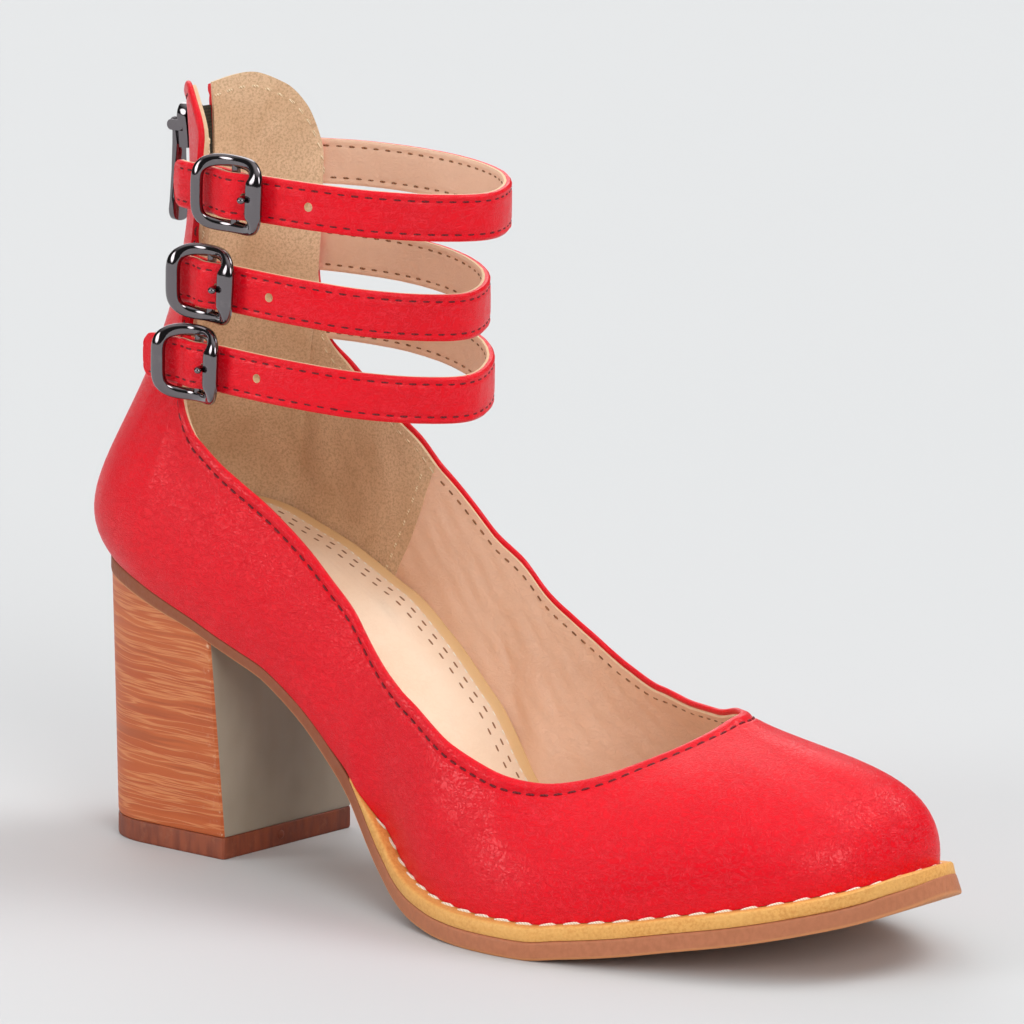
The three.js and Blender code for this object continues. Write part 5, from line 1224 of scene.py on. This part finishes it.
def frame_line(turn):
    """The frame's middle line, once round: a squared ellipse, with the bar's width at each place."""
    angle = 2 * np.pi * turn
    half_length = (BUCKLE_LENGTH - BUCKLE_SIDE_BAR) / 2
    half_height = (BUCKLE_HEIGHT - BUCKLE_SIDE_BAR) / 2
    c, s = np.cos(angle), np.sin(angle)
    reach = (np.abs(c) ** BUCKLE_CORNER + np.abs(s) ** BUCKLE_CORNER) ** (-1 / BUCKLE_CORNER)
    facing = c * reach
    end_bar = np.where(facing < 0, BUCKLE_FRONT_BAR, BUCKLE_REAR_BAR)
    width = BUCKLE_SIDE_BAR + (end_bar - BUCKLE_SIDE_BAR) * np.abs(facing) ** 4
    return half_length * facing, half_height * reach * s, width


def bow_at(behind):
    """How far the frame stands out: it bows with the square of the way from the centre bar."""
    return CENTRE_BAR_DEPTH + BUCKLE_ARCH * (behind / ((BUCKLE_LENGTH - BUCKLE_SIDE_BAR) / 2)) ** 2


def rounded_section(count, squareness):
    """A squared circle of radius 1: sine and cosine over the root of their summed powers."""
    angle = (np.arange(count) + 0.5) / count * 2 * np.pi
    c, s = np.cos(angle), np.sin(angle)
    reach = (np.abs(c) ** squareness + np.abs(s) ** squareness) ** (-1 / squareness)
    return c * reach, s * reach


for strap in STRAPS:
    name = strap["name"]
    place = placers[name]
    turn = np.arange(160) / 160
    behind, up, width = frame_line(turn)
    ahead_behind, ahead_up, _ = frame_line(turn + 0.003)
    back_behind, back_up, _ = frame_line(turn - 0.003)
    away = unit(np.stack([ahead_up - back_up, back_behind - ahead_behind], axis=-1))
    c, s = rounded_section(24, 2.5)
    across = width[:, None] / 2 * c[None, :] - (width[:, None] - BUCKLE_SIDE_BAR) / 2
    out = bow_at(behind)[:, None] + BUCKLE_THICKNESS / 2 * s[None, :]
    rings = place(behind[:, None] + away[:, :1] * across, out, up[:, None] + away[:, 1:] * across)
    buckle = make_piece(f"buckle_{name}_frame", rings, [gunmetal], looped=True)
    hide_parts(f"buckle_{name}")
    angle = np.arange(20) / 20 * 2 * np.pi
    reach = np.linspace(-1, 1, 9)[:, None] * (BUCKLE_HEIGHT - BUCKLE_SIDE_BAR) / 2
    rings = place(CENTRE_BAR / 2 * np.cos(angle)[None],
                  CENTRE_BAR_DEPTH + CENTRE_BAR / 2 * np.sin(angle)[None], reach + 0 * angle[None])
    bar = make_piece(f"buckle_{name}_bar", rings, [gunmetal])
    front_bar = -(BUCKLE_LENGTH / 2 - BUCKLE_FRONT_BAR / 2)
    top_out = CENTRE_BAR_DEPTH + BUCKLE_ARCH + BUCKLE_THICKNESS / 2 + PRONG_DIAMETER / 2
    knots = np.array([
        [PRONG_HOLE + 0.5, CENTRE_BAR_DEPTH - 1.6], [PRONG_HOLE + 0.3, hump_at(PRONG_HOLE) - 1.9],
        [PRONG_HOLE, hump_at(PRONG_HOLE)], [PRONG_HOLE - 0.4, hump_at(PRONG_HOLE) + 1.6],
        [front_bar + 2.0, top_out + 0.1], [front_bar + 0.9, top_out + 0.15],
    ])
    line = at_share(smooth_curve(place(knots[:, 0], knots[:, 1], 0), closed=False), np.linspace(0, 1, 40))
    upright = np.array([0, 0, 1.0])
    beside = unit(np.cross(np.gradient(line, axis=0), upright))
    tip = np.clip((np.linspace(0, 1, 40) - 0.88) / 0.125, 0, 1)
    size = PRONG_DIAMETER / 2 * np.sqrt(np.clip(1 - tip**2, 0.02, 1))
    rings = line[:, None] + size[:, None, None] * (
        beside[:, None] * np.cos(angle)[None, :, None] + upright * np.sin(angle)[None, :, None])
    prong = make_piece(f"prong_{name}_tongue", rings, [gunmetal])
    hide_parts(f"prong_{name}")

# Zip: a dark olive woven tape sewn behind the two back edges, with a closed chain of metal teeth, a
# slider held near the top and a small red leather cover sewn over its foot.
TAPE_THICKNESS = 0.8
TOOTH_PITCH = 1.55
CHAIN_WIDTH = 2.6
CHAIN_THICKNESS = 1.3
ZIP_FOOT = 2 / 12
PATCH_WIDTH = 20.0
PATCH_THICKNESS = 1.2
PATCH_FROM, PATCH_TO = 0.06, 0.165

tape_cloth, tree, shader, place = start_material("olive zip tape")
ribs = add_node(tree, "ShaderNodeTexWave", {"Vector": place, "Scale": 420.0, "Distortion": 0.4},
                bands_direction="Z").outputs["Fac"]
twill = add_node(tree, "ShaderNodeTexWave", {"Vector": place, "Scale": 560.0, "Distortion": 0.6},
                 bands_direction="Y").outputs["Fac"]
weave = math_of(tree, "MULTIPLY", ribs, twill)
finish_surface(tree, shader, blend(tree, weave, rgb(40, 38, 28), rgb(74, 70, 52)),
               shade(tree, 0.8, 0.95, weave), weave, 0.12)

zip_rise = np.linspace(ZIP_FOOT, 1, 90)
zip_outer, zip_out_side, _ = wall_frame(np.full(90, ZIP_EDGE), zip_rise)
zip_inner = zip_outer - zip_out_side * UPPER_WALL
other_side = wall(np.full(90, 1 - ZIP_EDGE), zip_rise)
gap = np.minimum(np.minimum(np.abs(zip_outer[:, 1]), np.abs(zip_inner[:, 1])), np.abs(other_side[:, 1]))
zip_middle = (zip_outer + zip_inner) / 2 * [1, 0, 1]
zip_along = unit(np.gradient(zip_outer * [1, 0, 1], axis=0))
zip_out = np.stack([-zip_along[:, 2], 0 * zip_along[:, 2], zip_along[:, 0]], axis=-1)
sideways = np.array([0, 1.0, 0])
width_shares = np.concatenate([np.linspace(-1, 1, 9), np.linspace(1, -1, 9)])
thick_shares = np.concatenate([np.full(9, 0.5), np.full(9, -0.5)])
tape_rings = (zip_middle[:, None] + sideways * (width_shares[None, :] * (gap[:, None] + 0.15))[..., None]
              + zip_out[:, None] * (thick_shares * TAPE_THICKNESS)[None, :, None])
tape = make_piece("zip_tape_cloth", tape_rings, [tape_cloth])
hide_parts("zip_tape")

spans = lengths_along(zip_middle)
tooth_places = np.arange(1.0, spans[-1] - 0.8, TOOTH_PITCH / 2)
tooth_middle, tooth_along, tooth_out = (
    read_along(line, spans, tooth_places) for line in (zip_middle, zip_along, zip_out))
tooth_side = np.where(np.arange(len(tooth_places)) % 2 == 0, -1.0, 1.0)
tooth_middle = tooth_middle + tooth_out * (TAPE_THICKNESS / 2 + CHAIN_THICKNESS / 2)
tooth_middle = tooth_middle + sideways * (tooth_side * CHAIN_WIDTH * 0.16)[:, None]
c, s = rounded_section(8, 4.0)
a = np.array([-1.0, -0.92, -0.5, 0.5, 0.92, 1.0])[:, None]
draw = np.array([0.7, 0.95, 1.0, 1.0, 0.95, 0.7])[:, None]
offsets = (a * CHAIN_WIDTH * 0.34 + 0 * c, TOOTH_PITCH * 0.22 * draw * c[None],
           CHAIN_THICKNESS / 2 * draw * s[None])
tooth_axes = (np.broadcast_to(sideways, tooth_middle.shape), tooth_along, tooth_out)
chain = make_piece("zip_teeth", many_copies(tooth_middle, tooth_axes, offsets), [gunmetal])
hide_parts("zip_chain")

for node_name, body in (("zip_slider", "shoe"), ("zip_pull", "pull")):
    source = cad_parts[node_name]
    mesh = source.data.copy()
    work = bmesh.new()
    work.from_mesh(mesh)
    bmesh.ops.remove_doubles(work, verts=work.verts, dist=1e-6)
    bmesh.ops.dissolve_limit(work, angle_limit=math.radians(2), verts=work.verts, edges=work.edges)
    work.to_mesh(mesh)
    work.free()
    mesh.materials.clear()
    mesh.materials.append(gunmetal)
    mesh.polygons.foreach_set("use_smooth", np.ones(len(mesh.polygons), bool))
    piece = bpy.data.objects.new(node_name + "_metal", mesh)
    bpy.context.scene.collection.objects.link(piece)
    soften = piece.modifiers.new("soft edges", "BEVEL")
    soften.width, soften.segments, soften.limit_method = 0.00028, 3, "ANGLE"
    soften.angle_limit = math.radians(35)
    soften.harden_normals = True
    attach(piece, body)
    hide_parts(node_name)

across_patch = np.linspace(-1, 1, 41)
patch_turn = across_patch * PATCH_WIDTH / 2 / lengths_along(sole_loop)[-1]
patch_rise = np.linspace(PATCH_FROM, PATCH_TO, 16)
safe = np.maximum(np.abs(patch_turn), ZIP_EDGE) * np.where(patch_turn < 0, -1, 1)
patch_face, patch_out, patch_up = wall_frame(np.mod(safe, 1)[:, None], patch_rise[None, :])
inside_seam = (np.abs(patch_turn) < ZIP_EDGE)[:, None]
patch_face[..., 1] *= np.where(inside_seam, np.abs(patch_turn / ZIP_EDGE)[:, None], 1)
edge_u = smoothstep(1.0, 0.9, np.abs(across_patch))[:, None]
edge_v = smoothstep(1.0, 0.86, np.abs(np.linspace(-1, 1, 16)))[None, :]
lift = SEAM * 0.4 + PATCH_THICKNESS * (0.55 + 0.45 * np.minimum(edge_u, edge_v))
patch_rings = np.concatenate([patch_face + patch_out * lift[..., None],
                              (patch_face + patch_out * 0.05)[:, ::-1]], axis=1)
patch = make_piece("zip_patch_leather", patch_rings, [strap_leather])
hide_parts("zip_patch")

# Studio: a plain pale floor, a soft all-round light and broad soft boxes above, and a long lens at the
# photograph's angle.
floor_mesh = bpy.data.meshes.new("floor")
floor_mesh.from_pydata([(-12, -12, 0), (12, -12, 0), (12, 12, 0), (-12, 12, 0)], [], [(0, 1, 2, 3)])
floor = bpy.data.objects.new("floor", floor_mesh)
bpy.context.scene.collection.objects.link(floor)
floor_paint, tree, shader, place = start_material("pale floor")
soft = stretched_noise(tree, place, (3, 3, 3))
tree.links.new(blend(tree, soft, rgb(197, 199, 200), rgb(199, 200, 201)), shader.inputs["Base Color"])
shader.inputs["Roughness"].default_value = 0.9
floor_mesh.materials.append(floor_paint)

world = bpy.data.worlds.new("studio light")
bpy.context.scene.world = world
world.use_nodes = True
tree = world.node_tree
backdrop = tree.nodes["Background"]
direction = add_node(tree, "ShaderNodeTexCoord").outputs["Generated"]
SOFT_BOXES = [
    ((0.0, 0.0, 1.0), 0.50, 0.86, 0.86),
    ((0.30, 0.48, 0.82), 0.945, 0.985, 5.4),
    ((0.80, -0.42, 0.42), 0.955, 0.98, 6.2),
    ((-0.55, -0.78, 0.30), 0.965, 0.985, 6.6),
    ((-0.70, 0.60, 0.40), 0.93, 0.97, 2.2),
]
glow = None
for aim, outer, inner, power in SOFT_BOXES:
    aim = tuple(np.array(aim) / np.linalg.norm(aim))
    facing = add_node(tree, "ShaderNodeVectorMath", {0: direction, 1: aim},
                      operation="DOT_PRODUCT").outputs["Value"]
    lit = shade(tree, 0.0, power, facing, outer, inner)
    glow = lit if glow is None else math_of(tree, "ADD", glow, lit)
rays = add_node(tree, "ShaderNodeLightPath").outputs
strength = math_of(tree, "ADD", glow, shade(tree, 0.27, 0.05, rays["Is Glossy Ray"]))
tree.links.new(strength, backdrop.inputs["Strength"])
backdrop.inputs["Color"].default_value = (1.0, 1.0, 1.0, 1.0)
plain = add_node(tree, "ShaderNodeBackground", {"Color": rgb(229, 229, 230), "Strength": 1.0})
mixed = add_node(tree, "ShaderNodeMixShader", {
    0: rays["Is Camera Ray"], 1: backdrop.outputs[0], 2: plain.outputs[0]})
tree.links.new(mixed.outputs[0], tree.nodes["World Output"].inputs["Surface"])

CAMERA_TARGET = np.array([105.28, 5.88, 83.48])
CAMERA_TURN, CAMERA_RISE, CAMERA_ROLL = 39.891, 10.729, 0.554
CAMERA_DISTANCE = 1488.7
LENS, SENSOR_WIDTH = 238.5, 36.0
azimuth, elevation, roll_angle = (math.radians(v) for v in (CAMERA_TURN, CAMERA_RISE, CAMERA_ROLL))
back = np.array([math.sin(azimuth) * math.cos(elevation), -math.cos(azimuth) * math.cos(elevation),
                 math.sin(elevation)])
right = np.array([math.cos(azimuth), math.sin(azimuth), 0.0])
up = np.cross(back, right)
turned_right = math.cos(roll_angle) * right + math.sin(roll_angle) * up
turned_up = -math.sin(roll_angle) * right + math.cos(roll_angle) * up
eye = (CAMERA_TARGET + back * CAMERA_DISTANCE + SHIFT) * 0.001
camera_data = bpy.data.cameras.new("camera")
camera_data.sensor_width, camera_data.lens = SENSOR_WIDTH, LENS
camera = bpy.data.objects.new("camera", camera_data)
bpy.context.scene.collection.objects.link(camera)
camera.matrix_world = Matrix(np.vstack([np.stack([turned_right, turned_up, back, eye], axis=-1),
                                        [0, 0, 0, 1]]).tolist())
bpy.context.scene.camera = camera
bpy.context.scene.view_settings.view_transform = "Standard"
